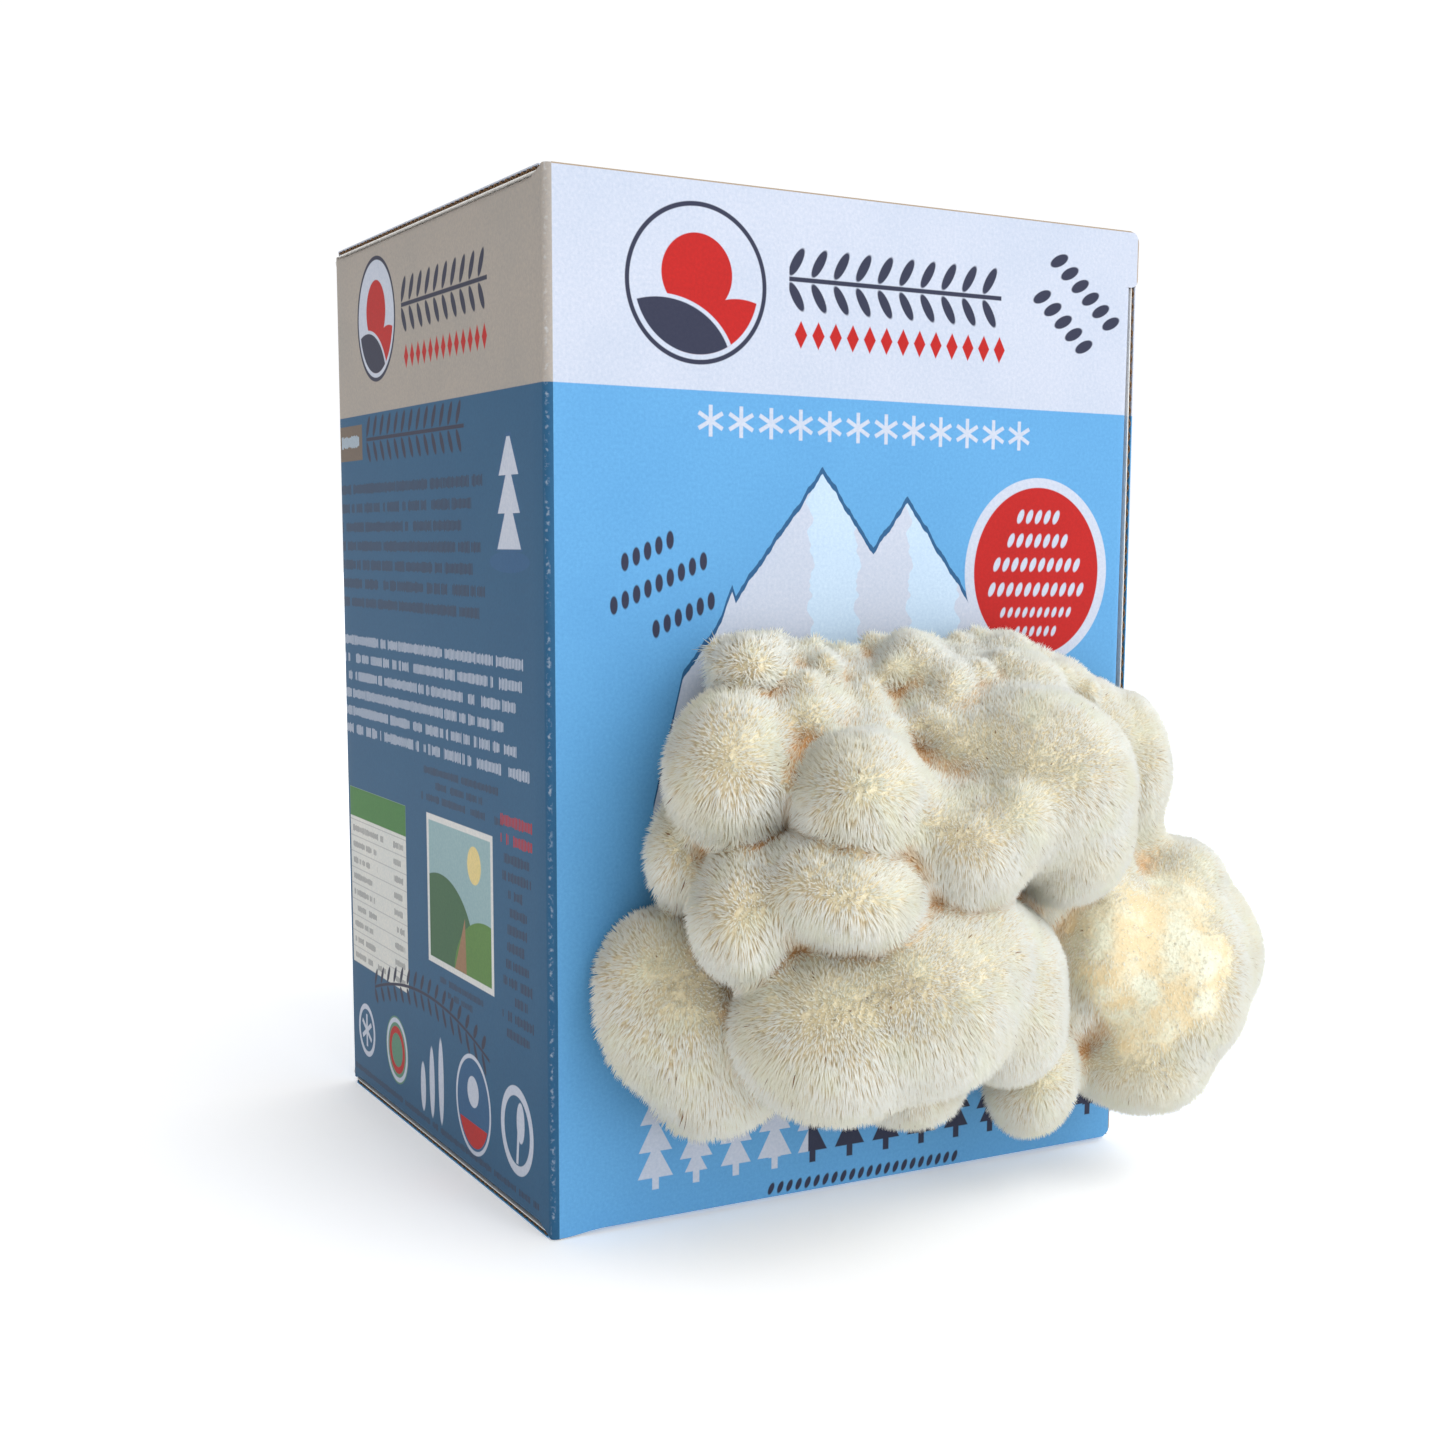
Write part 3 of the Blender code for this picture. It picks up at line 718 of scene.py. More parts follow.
def fluteRibbon(start, along, inward, across, length, swing=0.42):
    # The wavy paper inside a cut edge: start + along x s + across x swing x sin(2 pi s / pitch),
    # carried into the board for the flutes' visible depth
    pitch, thick = carton["flutePitch"], 0.2
    s = np.arange(0, length, pitch / 12)[:, None, None]
    t = np.array((0.0, carton["fluteDepth"]))[None, :, None]
    start, along, inward, across = (np.array(v, float) for v in (start, along, inward, across))
    wave = swing * np.sin(2 * np.pi * s / pitch)
    grid = bowed(start + along * s + across * wave + inward * t)
    return rightSideOut(slabBetween(grid + across * thick / 2, grid - across * thick / 2, rawBoard))


def rightSideOut(shell):
    # The shell with its signed volume made positive, so that its faces point outwards
    points, quads, finish = shell
    a, b, c, d = (points[quads[:, k]] for k in range(4))
    volume = np.sum(np.cross(b - a, c - a) * a) + np.sum(np.cross(c - a, d - a) * a)
    return points, (quads if volume > 0 else quads[:, ::-1]), finish


def setBack(grid):
    # The lid's fluted middle ends a little short of its cut edges
    w, h = carton["halfWidth"], carton["height"]
    return np.clip(grid, (2.1 - w, -np.inf, 1.7), (w - 0.4, np.inf, h - 0.35))


def boardShells(face, ink, closed=False, cut=False):
    # Outer paper, inner paper and, where an edge is cut along the flutes, the middle between them
    grid, normals = face
    board, liner = carton["board"], carton["liner"]
    layers = [(grid, 0.0, liner, ink), (grid, board - liner, board * 0.97, lining)]
    if cut:
        layers.append((setBack(grid), liner + 0.02, board - liner - 0.02, rawBoard))
    return [rightSideOut(slabBetween(place - normals * start, place - normals * end, finish, closed))
            for place, start, end, finish in layers]


def inkedByPlace(shell):
    # The wall strip carries the side print on the left, the rear print behind and the right print
    points, quads, finish = shell
    x, y, _ = points[quads].mean(axis=1).T
    w, d, fold = carton["halfWidth"], carton["halfDepth"], carton["fold"]
    places = (x < -w + fold + 0.3, y > d - fold, x > w - fold - 1)
    ink = np.select(places, (sideInk, rearInk, rightInk), plainInk)
    return points, quads, np.where(finish == plainInk, ink, finish)


def buildCarton():
    w, d, h, ear = carton["halfWidth"], carton["halfDepth"], carton["height"], carton["ear"]
    inks = [frontPrint(), rawBoardFinish(), liningFinish(), sidePrint(), plainPrint(),
            sceneryPrint("rearPrint", lambda x, y: -x, -36),
            sceneryPrint("rightPrint", lambda x, y: y, -41)]
    lid = boardShells(lidFace(), frontInk, closed=True, cut=True)
    for top in (True, False):
        lid += boardShells(earFace(top), frontInk, cut=True)
    for low in (1.5, h - ear + 0.4):
        lid.append(fluteRibbon((w - 0.15, -d + 0.8, low), (0, 0, 1), (-1, 0, 0), (0, 1, 0), ear - 2.0))
    walls = [inkedByPlace(shell) for shell in boardShells(wallsFace(), plainInk)]
    walls.append(fluteRibbon((w - 0.8, -d + 1.15, 2.0), (0, 0, 1), (0, 1, 0), (1, 0, 0), h - 4.0))
    ends = []
    for top in (True, False):
        ends += boardShells(endFace(top), plainInk)
        z = h - 0.8 if top else 0.8
        for side in (-1, 1):
            start = (side * (w - 0.25), -d + 2.0, z)
            ends.append(fluteRibbon(start, (0, 1, 0), (-side, 0, 0), (0, 0, 1), 2 * d - 5.5))
    built = {"carton_lid": lid, "carton_walls": walls, "carton_ends": ends,
             "carton_tuck_flap": boardShells(tuckFace(), plainInk)}
    for name, shells in built.items():
        piece = makePiece(name, shells, inks)
        # folds and rims stay crisp, gentle bends shade smoothly
        piece.data.set_sharp_from_angle(angle=math.radians(40))
        ridesFor(piece, "carton")


# The carton's finishes: plain ornaments in flat inks, and worn folds

inkColours = {
    "blue": (0.112, 0.338, 0.610),
    # painted light: the white ink's blue cast stands in for the cool light that falls on the front
    "white": (0.52, 0.56, 0.65),
    "navy": (0.030, 0.033, 0.062),
    "deepBlue": (0.025, 0.10, 0.22),
    "paleBlue": (0.50, 0.66, 0.80),
    "red": (0.45, 0.012, 0.010),
    "green": (0.06, 0.20, 0.05),
    "brown": (0.16, 0.12, 0.09),
    # painted shade: darker, warmer copies of the blue and the white, for the left wall that lies in shade
    "shadedSideBlue": (0.020, 0.096, 0.195),
    "shadedSideWhite": (0.375, 0.335, 0.295),
    "bandStart": 202.1,       # the white band begins at this height, in mm
}


class Print(Finish):
    # A printed face: u runs right and z up as one looks at it, in mm
    def __init__(self, name, sideways, field="blue", band="white"):
        super().__init__(name, 0.55, Specular_IOR_Level=0.18)
        self.where = self.place()
        x, y, self.z = self.split(self.where)
        self.u = sideways(x, y)
        self.colour = inkColours[field]
        self.lay(self.soft(inkColours["bandStart"] - self.z), band)

    def lay(self, mask, ink):
        self.colour = self.paint(self.colour, inkColours[ink] if isinstance(ink, str) else ink, mask)

    def soft(self, distance, blur=0.22):
        # 1 where a distance in mm is below 0, with a printed edge's slight softness
        return self.sum("MULTIPLY_ADD", distance, -1 / blur, 0.5, clamp=True)

    def plate(self, left, low, right, high):
        across = abs(self.u - (left + right) / 2) - (right - left) / 2
        return self.soft(across.most(abs(self.z - (low + high) / 2) - (high - low) / 2))

    def oval(self, u, z, radiusU, radiusZ):
        # distance from an ellipse, near enough: (length of the scaled place - 1) x the lesser radius
        across, up = (self.u - u) / radiusU, (self.z - z) / radiusZ
        return ((across * across + up * up) ** 0.5 - 1) * min(radiusU, radiusZ)

    def cells(self, start, count, pitch):
        # how far from the middle of its cell, and the mask of a row whose first middle is start
        across = self.sum("WRAP", self.u - start, pitch / 2, -pitch / 2)
        middle = start + (count - 1) * pitch / 2
        return across, self.soft(abs(self.u - middle) - count * pitch / 2)

    def sprigRow(self, start, end, height, pitch, tall, leaf, stem, curve=0.0):
        # A stem with slanted leaves above and below it, from start to the whole leaf nearest end
        end = start + round((end - start) / pitch) * pitch - 0.5
        aside = self.u - (start + end) / 2
        up = abs(self.z - height + aside * aside * curve)
        local = self.sum("WRAP", self.u - start - 0.5 * up, pitch / 2, -pitch / 2)
        leafUp, leafAcross = (up - tall * 0.55) / (tall * 0.45), local / leaf
        leaves = ((leafUp * leafUp + leafAcross * leafAcross) ** 0.5 - 1) * leaf
        return self.soft(leaves.least(up - stem)) * self.soft(abs(aside) - (end - start) / 2)

    def flakeRow(self, start, count, height, pitch, radius, stroke):
        # Six-armed stars: three strokes crossed at 60 degrees inside a circle, one to a cell
        a, reach = self.cells(start, count, pitch)
        v = self.z - height
        arms = abs(a).least(abs(a * 0.5 + v * 0.866)).least(abs(a * 0.5 - v * 0.866)) - stroke
        return self.soft(arms.most((a * a + v * v) ** 0.5 - radius)) * reach

    def diamondRow(self, start, count, height, pitch, halfWide, halfTall):
        # |across| / halfWide + |up| / halfTall = 1
        a, reach = self.cells(start, count, pitch)
        shape = (abs(a) / halfWide + abs(self.z - height) / halfTall - 1) * halfWide
        return self.soft(shape) * reach

    def beads(self, u, z, turn, count, pitch, radius):
        # A row of small leaning leaves about a middle: (along / short)^2 + (aside / tall)^2 = 1
        c, s = math.cos(math.radians(turn)), math.sin(math.radians(turn))
        along = (self.u - u) * c + (self.z - z) * s
        aside = (self.z - z) * c - (self.u - u) * s
        leant = along - aside * 0.35 + (count - 1) * pitch / 2
        a = self.sum("WRAP", leant, pitch / 2, -pitch / 2) / radius
        b = aside / (radius * 1.9)
        leaf = ((a * a + b * b) ** 0.5 - 1) * radius
        return self.soft(leaf.most(abs(leant - (count - 1) * pitch / 2) - count * pitch / 2))

    def tickRows(self, left, right, top, pitch, rows, tall, ragged, centred, seed, share=0.56):
        # Rows of plain upright ticks in groups; a tick takes its share of the ticks' pitch, its
        # height varies, and the rows' right ends, or both ends where centred, are ragged
        u, wide = self.u - left, right - left
        down = (top - self.z) / pitch
        row = down.floor()
        short = self.node("TexWhiteNoise", {"noise_dimensions": "1D"}, {"W": row + seed}) * ragged
        if centred:
            reach = abs(u - wide / 2) - wide / 2 + short
        else:
            reach = abs(u - wide / 2 + short / 2) - wide / 2 + short / 2
        block = (abs(down - rows / 2) - rows / 2) * pitch
        tick = u / carton["tickPitch"]
        number = tick.floor()
        spot = {"Vector": self.joined(number, row, seed)}
        height = self.node("TexWhiteNoise", {"noise_dimensions": "2D"}, spot) * 0.16 + 0.34
        line = abs(down - row - 0.5) * pitch - height * tall
        lumps = self.noise(self.joined(number * 0.28, row * 7.7, seed), 1.0, detail=0.0)
        groups = between(lumps, 0.36, 0.37)
        ticks = between(abs(tick - number - 0.5), share / 2 + 0.07, share / 2 - 0.07)
        return ticks * groups * self.soft(reach.most(block).most(line))

    def peaks(self, tops):
        # The skyline: the highest of top - slope x distance, a little jagged
        flanks = [abs(self.u - u) * -slope + top for u, top, slope in tops]
        line = flanks[0]
        for flank in flanks[1:]:
            line = line.most(flank)
        return line + (self.noise(self.joined(self.u, 0.0, 0.0), 3.4) * 3.6 - 1.8)

    def fir(self, across, top, foot, tierHeight, widening, tip, slope):
        # Each tier widens downwards from the top, and each is a little wider than the one above
        down = top - self.z
        tier = down.most(0.0) / tierHeight
        half = (tier - tier.floor()) * widening + tip + down * slope
        return (abs(across) - half).most(-down).most(foot - self.z)

    def trees(self, start, count, base, tall, pitch, wide):
        # Firs of uneven height in a row, each on a short trunk
        a, reach = self.cells(start, count, pitch)
        cell = ((self.u - start) / pitch + 0.5).floor()
        chance = self.node("TexWhiteNoise", {"noise_dimensions": "1D"}, {"W": cell + 3.0})
        shape = self.fir(a, chance * 4.0 + (base + tall - 4.0), base + 3.0, 7.0, wide - 1.6, 0.4, 0.06)
        trunk = (abs(a) - 0.9).most(abs(self.z - base - 2.0) - 2.0)
        return self.soft(shape.least(trunk)) * reach

    def roundel(self, u, z, radius):
        # A low sun over two hills inside a ring
        disc = self.oval(u, z, radius, radius)
        self.lay(self.soft(disc), "navy")
        self.lay(self.soft(disc + 1.1), "white")
        inner = self.soft(disc + 2.3)
        hill = self.oval(u - radius * 0.5, z - radius * 1.05, radius * 1.0, radius * 0.85)
        far = self.oval(u + radius * 0.6, z - radius * 1.1, radius * 0.9, radius * 0.95)
        self.lay(inner * self.soft(self.oval(u, z + radius * 0.12, radius * 0.50, radius * 0.50)), "red")
        for edge, ink in ((far, "red"), (hill - 0.9, "white"), (hill, "navy")):
            self.lay(inner * self.soft(edge), ink)

    def done(self, cutEdges=False):
        # ink mottle, pale rubbed specks along the folds and a fine paper grain
        fine = self.noise(self.where, 0.8, detail=3.0, rough=0.7)
        broad = self.noise(self.where, 26.0)
        colour = self.paint(self.colour, (1.35, 1.25, 1.15), between(fine, 0.50, 0.80) * 0.5, "MULTIPLY")
        colour = self.paint(colour, (0.70, 0.78, 0.84), between(fine, 0.50, 0.20) * 0.5, "MULTIPLY")
        colour = self.paint(colour, (0.94, 0.96, 0.975), between(broad, 0.40, 0.70), "MULTIPLY")
        x, y, z = self.split(self.where)
        fold = between(abs(x + 84.5) + abs(y + 79.5), 1.1, 0.3)
        rub = between(self.noise(self.where, 1.1, detail=3.0), 0.52, 0.72)
        colour = self.paint(colour, (0.62, 0.66, 0.70), fold * rub * 0.45)
        if cutEdges:
            # bare board on the lid's lower, upper and right rim
            cut = (abs(z - 125.0) - 124.72).most(x - 84.75)
            colour = self.paint(colour, (0.36, 0.27, 0.18), between(cut, -0.12, 0.05))
        return self.finish(Base_Color=colour, Normal=self.bump(fine, 0.25, 0.06))


def frontPrint():
    # Peaks with shaded sides under a band; sprig, lozenges, flakes, beads, a red disc, firs at the foot
    face = Print("frontPrint", lambda x, y: x)
    skyline = face.peaks(((-12, 184.5, 1.3), (13, 178, 1.3), (-37, 156, 2.7), (36, 155, 2.2)))
    skyline = skyline.least((face.u + 46.0) * 4.0 + 152.0)
    ground = face.plate(-58, 100, 60, 190)
    snow = face.soft(face.z - skyline) * ground
    face.lay(snow, "white")
    ridge = face.noise(face.joined(face.z, 3.0, 0.0), 4.0, detail=1.0) * 7.0 - 3.5
    shades = [face.soft(start - face.u + ridge) * face.soft(face.u - end - ridge)
              for start, end in ((-15.0, -1.5), (14.0, 29.0))]
    face.lay(snow * shades[0].most(shades[1]) * 0.75, "paleBlue")
    face.lay(face.soft(abs(face.z - skyline) - 0.85) * ground, "deepBlue")
    face.roundel(-46.7, 226.5, 18.5)
    face.lay(face.sprigRow(-22, 41, 229.5, 6.3, 7.4, 1.45, 0.55), "navy")
    face.lay(face.diamondRow(-18.6, 13, 216.6, 4.9, 1.75, 3.3), "red")
    face.lay(face.flakeRow(-43, 12, 195.2, 8.2, 3.7, 0.5), "white")
    face.lay(face.soft(face.oval(54.2, 160.1, 23.2, 24.5)), "white")
    face.lay(face.soft(face.oval(54.2, 160.1, 20.3, 22.0)), "red")
    # rows of beads: ink, lean of the row, pitch, radius, then each row's middle and count
    for ink, turn, pitch, radius, rows in (
        ("navy", -40, 4.6, 1.5, ((67.5, 233.0, 6), (60.5, 225.0, 5))),
        ("navy", 24, 3.2, 1.05, ((-59.5, 164.5, 5), (-56.5, 157.0, 9), (-50.0, 149.5, 6))),
        ("white", 0, 2.9, 0.95, (
            (54.2, 174.5, 5), (54.2, 168.3, 7), (54.2, 162.0, 10), (54.2, 155.5, 11))),
        ("white", 0, 2.4, 0.7, ((54.2, 149.5, 10), (54.2, 144.5, 6))),
        ("navy", 0, 2.7, 0.8, ((3.5, 3.4, 22),)),
    ):
        for u, z, count in rows:
            face.lay(face.beads(u, z, turn, count, pitch, radius), ink)
    firInk = face.paint(inkColours["white"], inkColours["navy"], face.soft(-14.0 - face.u))
    face.lay(face.trees(-57.5, 13, 8.6, 24.5, 11.2, 4.9), firInk)
    return face.done(cutEdges=True)


def sidePrint():
    # The left wall: bands of ticks, a ruled table, a framed view and a row of marks at the foot, on darker,
    # warmer copies of the blue field and the white band as painted shade
    face = Print("sidePrint", lambda x, y: -y, "shadedSideBlue", "shadedSideWhite")
    face.roundel(-42, 227.5, 17.0)
    fir = face.fir(face.u - 57.0, 191.0, 164.5, 9.0, 4.5, 1.0, 0.09)
    # a brown plate, a fir, a table with a green head, and the frame of the view
    for mask, ink in (
        (face.plate(-80, 189.5, -57, 199.5), "brown"),
        (face.soft(fir - 0.9), "deepBlue"),
        (face.soft(fir), "white"),
        (face.soft(face.oval(57, 161.5, 13, 2.6)), "deepBlue"),
        (face.plate(-76.6, 39.0, -24.4, 93.0), (0.66, 0.66, 0.62)),
        (face.plate(-76.6, 84.2, -24.4, 93.0), "green"),
        (face.plate(-6.5, 52.5, 43.5, 93.5), (0.66, 0.66, 0.64)),
    ):
        face.lay(mask, ink)
    # ticks: left, right, top, pitch, rows, height, ragged, centred, seed, share
    grey = (0.16, 0.16, 0.17)
    for ink, *rows in (
        ("paleBlue", -77, -60, 197.5, 5.2, 1, 3.6, 0, False, 31),
        ("navy", -80, 44, 184.0, 5.45, 7, 3.1, 22, False, 41, 0.59),
        ("white", -81, 70, 140.0, 5.3, 6, 3.0, 24, False, 51, 0.57),
        ("navy", -12, 52, 107.0, 3.7, 3, 2.2, 14, True, 61),
        (grey, -74.5, -43, 83.0, 4.9, 9, 2.0, 14, False, 71),
        (grey, -36, -27, 83.0, 4.9, 9, 2.0, 0, False, 72),
        ("red", 49, 70, 101.0, 4.6, 2, 3.0, 0, True, 81, 0.61),
        ("navy", 48, 71, 91.5, 4.4, 11, 2.7, 7, True, 82, 0.58),
        ("navy", 0, 38, 50.5, 3.2, 2, 1.9, 8, True, 83),
        ("navy", -77, 72, 7.6, 3.2, 1, 1.9, 0, False, 91),
    ):
        face.lay(face.tickRows(*rows), ink)
    face.lay(face.sprigRow(-20, 45, 229.0, 6.5, 7.2, 1.5, 0.55), "navy")
    face.lay(face.diamondRow(-16.5, 13, 215.4, 4.9, 1.75, 3.2), "red")
    face.lay(face.sprigRow(-53, 30, 195.0, 6.2, 6.4, 1.3, 0.5), "navy")
    rules = abs(face.sum("WRAP", face.z - 39.0, 2.45, -2.45)) - 0.12
    face.lay(face.soft(rules) * face.plate(-76.6, 39.0, -24.4, 84.2), (0.40, 0.40, 0.40))
    # the view: sky, sun, a far hill, a near hill and a path
    view = face.plate(-4.8, 54.2, 41.8, 91.8)
    face.lay(view, (0.28, 0.42, 0.44))
    path = abs(face.u - 19.0 - (face.z - 54.0) * 0.25) - 4.5 + (face.z - 54.0) * 0.3
    for edge, ink in (
        (face.oval(30, 84, 5, 5), (0.72, 0.58, 0.25)),
        (face.oval(4, 58, 26, 20), (0.05, 0.13, 0.06)),
        (face.oval(38, 52, 24, 18), (0.10, 0.22, 0.05)),
        (path, (0.30, 0.17, 0.09)),
    ):
        face.lay(view * face.soft(edge), ink)
    face.lay(face.sprigRow(-56, 42, 42.0, 6.0, 5.2, 1.1, 0.45, curve=0.0032), "navy")
    # small round and upright marks along the foot
    face.lay(face.flakeRow(-64.8, 1, 19.4, 14.0, 5.0, 0.7), "white")
    rings = face.oval(-36, 20, 10, 10)
    disc = face.oval(27, 20, 13.0, 13.5)
    hoop = face.oval(58, 21.5, 11.0, 11.5)
    for edge, ink in (
        (abs(face.oval(-64.8, 19.4, 8.5, 8.5) + 1.2) - 0.8, "white"),
        (rings, (0.10, 0.24, 0.16)),
        (abs(rings + 4.0) - 1.0, "red"),
        (abs(rings + 1.2) - 0.7, "white"),
        (face.oval(-13.0, 15.0, 2.1, 7.0), "white"),
        (face.oval(-5.5, 18.0, 2.1, 10.0), "white"),
        (face.oval(2.0, 20.0, 2.1, 12.0), "white"),
        (disc, "white"),
        (disc + 1.1, "deepBlue"),
        ((disc + 1.8).most(face.z - 15.0), "red"),
        (face.oval(27, 23.5, 4.2, 4.2), "white"),
        (abs(hoop + 1.3) - 1.2, "white"),
        (face.oval(60.5, 24.0, 2.6, 5.2), "white"),
        ((abs(face.u - 58.0 - (face.z - 13.0) * 0.12) - 0.7).most(abs(face.z - 18.0) - 5.0), "white"),
    ):
        face.lay(face.soft(edge), ink)
    return face.done()


def plainPrint():
    # the top, the bottom and the tuck flap: the band and the blue alone
    return Print("plainPrint", lambda x, y: x).done()


def sceneryPrint(name, sideways, left):
    # the rear and the right wall, which the photograph doesn't show: the same motifs, laid out anew
    face = Print(name, sideways)
    face.roundel(left, 226.5, 16.0)
    skyline = face.peaks(((-14, 152, 1.15), (22, 136, 1.2), (-48, 112, 1.1), (52, 108, 1.1)))
    ground = face.plate(-90, 36, 90, 160)
    hills = face.oval(-40, 10, 78, 48).least(face.oval(48, 4, 70, 42))
    for mask, ink in (
        (face.sprigRow(left + 24, left + 87, 229.0, 6.3, 7.0, 1.4, 0.55), "navy"),
        (face.diamondRow(left + 27.5, 13, 216.0, 4.9, 1.75, 3.2), "red"),
        (face.flakeRow(-49.5, 13, 190.0, 8.25, 3.7, 0.5), "white"),
        (face.soft(face.z - skyline) * ground, "white"),
        (face.soft(abs(face.z - skyline) - 0.85) * ground, "deepBlue"),
        (face.soft(hills) * face.plate(-90, 36, 90, 90), "blue"),
        (face.trees(-67.2, 13, 22.0, 24.5, 11.2, 4.9), "navy"),
        (face.plate(-90, -5, 90, 22), "blue"),
        (face.beads(0, 12, 0, 26, 4.6, 1.4), "white"),
    ):
        face.lay(mask, ink)
    return face.done()


def rawBoardFinish():
    # brown fluting and cut paper
    look = Finish("rawBoard", 0.9, Specular_IOR_Level=0.2)
    spot = look.place()
    fibre = look.noise(spot, 0.5, detail=3.0, rough=0.7)
    colour = look.paint((0.11, 0.055, 0.026), (0.36, 0.22, 0.12), between(fibre, 0.3, 0.7))
    return look.finish(Base_Color=colour, Normal=look.bump(fibre, 0.4, 0.15))


def liningFinish():
    # the board's white inner paper
    look = Finish("boardLining", 0.75, Specular_IOR_Level=0.3)
    spot = look.place()
    fibre = look.noise(spot, 1.1, detail=3.0, rough=0.7)
    colour = look.paint((0.82, 0.81, 0.78), (0.70, 0.68, 0.63), between(fibre, 0.45, 0.8))
    return look.finish(Base_Color=colour, Normal=look.bump(fibre, 0.3, 0.08))


buildCarton()
print("carton done")

# The bag of film and the pressed block inside the carton

bag = {
    # height above the bag's foot, half width, half depth
    "stations": (
        (0.0, 30.0, 26.0), (0.2, 66.0, 62.0), (5.0, 74.5, 70.8), (100.0, 75.2, 71.3), (188.0, 74.5, 70.8),
        (201.0, 67.0, 50.0), (222.0, 60.0, 23.0), (230.5, 57.5, 19.0), (231.2, 20.0, 4.0)),
    "foot": 3.6,
    "middleX": -1.0,
    "squareness": 0.22,
    "wrinkle": 0.9,
    "film": 0.2,
}


def buildBag():
    # Rings of a rounded square: half size x |cos|^squareness with its sign, and the same with sin,
    # up the stations, drawn in by long upright wrinkles
    stations = np.array(bag["stations"])
    level = np.unique(np.concatenate((stations[:, 0], np.linspace(0, stations[-1, 0], 90))))
    halfX, halfY = (np.interp(level, stations[:, 0], stations[:, k])[:, None] for k in (1, 2))
    angle = np.linspace(0, 2 * np.pi, 160, endpoint=False)[None]
    power = bag["squareness"]
    x = halfX * np.sign(np.cos(angle)) * np.abs(np.cos(angle)) ** power + bag["middleX"]
    y = halfY * np.sign(np.sin(angle)) * np.abs(np.sin(angle)) ** power
    grid = gridOf(x, y, level[:, None] + bag["foot"])
    z = grid[..., 2]
    wrinkle = lumpNoise(grid * np.array((1, 1, 0.18)), 7.0, 31) + 0.5 * lumpNoise(grid, 5.0, 32)
    swell = 0.4 + 1.2 * eased(z, 195.0, 215.0)
    inwards = unit(gridOf(bag["middleX"] - x, -y, 0.0))
    grid = grid + inwards * (np.abs(wrinkle) * bag["wrinkle"] * swell * eased(z, 5.0, 12.0))[..., None]
    inner = grid + inwards * bag["film"]
    look = Finish("bagFilm", 0.28, Specular_IOR_Level=0.5)
    haze = look.noise(look.place(), 12.0, detail=3.0)
    colour = look.paint((0.80, 0.82, 0.80), (0.62, 0.60, 0.52), between(haze, 0.45, 0.75) * 0.6)
    film = look.finish(Base_Color=colour, Normal=look.bump(haze, 0.3, 0.4))
    shell = rightSideOut(slabBetween(grid, inner, 0, closed=True))
    ridesFor(makePiece("bag_film", [shell], [film]), "grow_bag")


def dressBlock():
    # Sawdust bound by white mycelium, on the block's own solid
    look = Finish("sawdustBlock", 0.9, Specular_IOR_Level=0.2)
    spot = look.place()
    chips = look.node("TexVoronoi", {"feature": "F1"}, {"Vector": spot, "Scale": 0.5}, output="Color")
    chip = look.split(chips)[0]
    threads = look.noise(spot, 11.0, detail=4.0, rough=0.6)
    colour = look.paint((0.30, 0.19, 0.10), (0.55, 0.40, 0.24), chip)
    colour = look.paint(colour, (0.86, 0.84, 0.76), between(threads, 0.40, 0.62) * 0.85)
    relief = look.noise(spot, 1.6, detail=3.0)
    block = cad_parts["substrate_block"]
    block.data.materials.clear()
    block.data.materials.append(look.finish(Base_Color=colour, Normal=look.bump(relief, 0.6, 0.8)))


buildBag()
dressBlock()
print("bag and block done")

# Floor, light, camera

camera = {
    "place": (-253.12, -488.88, 164.58),
    # the camera's own axes: to the right, up, and back from what it looks at
    "axes": ((0.8640, -0.5034, 0.0112), (0.0610, 0.1268, 0.9901), (-0.4998, -0.8547, 0.1402)),
    "lens": 47.37,
    "sensor": 36,
    "shift": (-0.0618, 0.0687),
}


def addCamera():
    data = bpy.data.cameras.new("camera")
    data.lens, data.sensor_width = camera["lens"], camera["sensor"]
    data.shift_x, data.shift_y = camera["shift"]
    data.clip_start, data.clip_end = 0.01, 100
    turn = Matrix(camera["axes"]).transposed().to_4x4()
    scene.camera = bpy.data.objects.new("camera", data)
    scene.camera.matrix_world = Matrix.Translation([v * mm for v in camera["place"]]) @ turn
    scene.collection.objects.link(scene.camera)


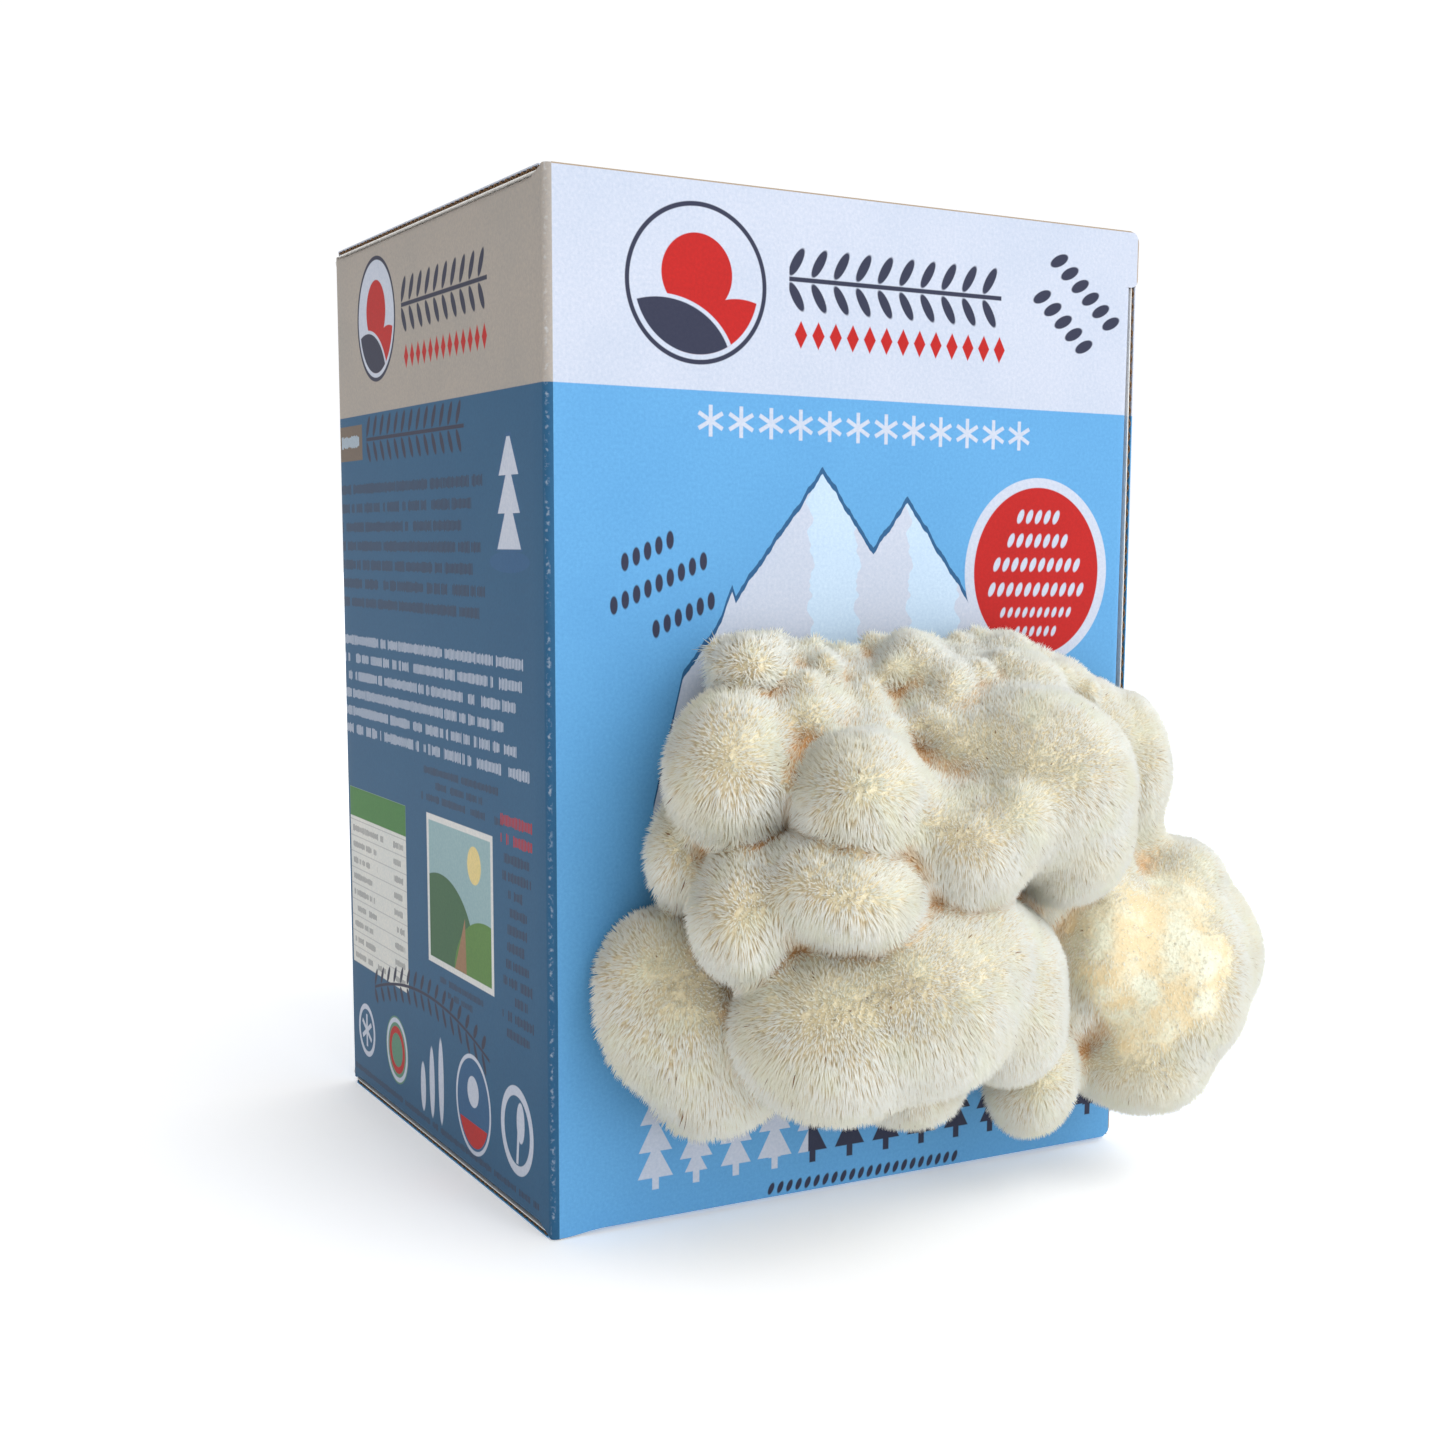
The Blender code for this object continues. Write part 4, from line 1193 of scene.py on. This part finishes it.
studio = {
    "sunFrom": (0.38, -0.85, 0.78),       # from the front right
    "sunPower": 0.78,
    "sunWidth": 45,                       # degrees: a broad source with soft shadows
    "sunColour": (0.97, 1.0, 1.04),
    "floorGlow": 0.26,                    # a light table, as round the object on the photograph
    "floorReach": 12000,
    "floorDrop": 0.05,                    # below the carton's foot
    "roomColour": (0.20, 0.185, 0.17),
    # what the room's light rises to, towards which side, and from which to which nearness to it
    "sides": (
        ((1.05, 1.05, 1.05), (0.0, 0.0, 1.0), (0.42, -0.02)),     # low round the horizon
        ((1.02, 1.02, 1.03), (1.0, 0.0, 0.05), (-0.50, 0.10)),
        ((1.55, 1.59, 1.67), (0.28, -0.90, 0.33), (0.45, 0.90)),
    ),
}


def addSun():
    data = bpy.data.lights.new("sun", "SUN")
    data.energy = studio["sunPower"]
    data.angle = math.radians(studio["sunWidth"])
    data.color = studio["sunColour"]
    thing = bpy.data.objects.new("sun", data)
    thing.rotation_euler = Vector(studio["sunFrom"]).to_track_quat("Z", "Y").to_euler()
    scene.collection.objects.link(thing)


def addFloor():
    look = Finish("paleFloor", 0.9, Emission_Strength=studio["floorGlow"])
    look.finish(Base_Color=(0.98, 0.98, 0.98))
    look.material.cycles.emission_sampling = "NONE"     # so wide and even a glow needs no sampling
    reach = np.linspace(-1, 1, 9) * studio["floorReach"]
    points = gridOf(reach, reach[:, None], -studio["floorDrop"])
    makePiece("floor", [(points, gridQuads(9, 9), 0)], [look.material])


def addWorld():
    # a dim room whose light grows towards the right and the front
    scene.world = bpy.data.worlds.new("studio")
    scene.world.use_nodes = True
    room = Nodes(scene.world.node_tree)
    where = room.node("TexCoord", output="Generated")
    light = studio["roomColour"]
    for colour, side, (start, end) in studio["sides"]:
        product = {"operation": "DOT_PRODUCT"}
        toward = room.node("VectorMath", product, {0: where, 1: side}, output="Value")
        ramp = {"Value": toward, "From Min": start, "From Max": end}
        share = room.node("MapRange", {"interpolation_type": "SMOOTHSTEP"}, ramp)
        light = room.paint(light, colour, share)
    room.feed(room.tree.nodes["Background"].inputs["Color"], light)


addCamera()
addFloor()
addWorld()
addSun()
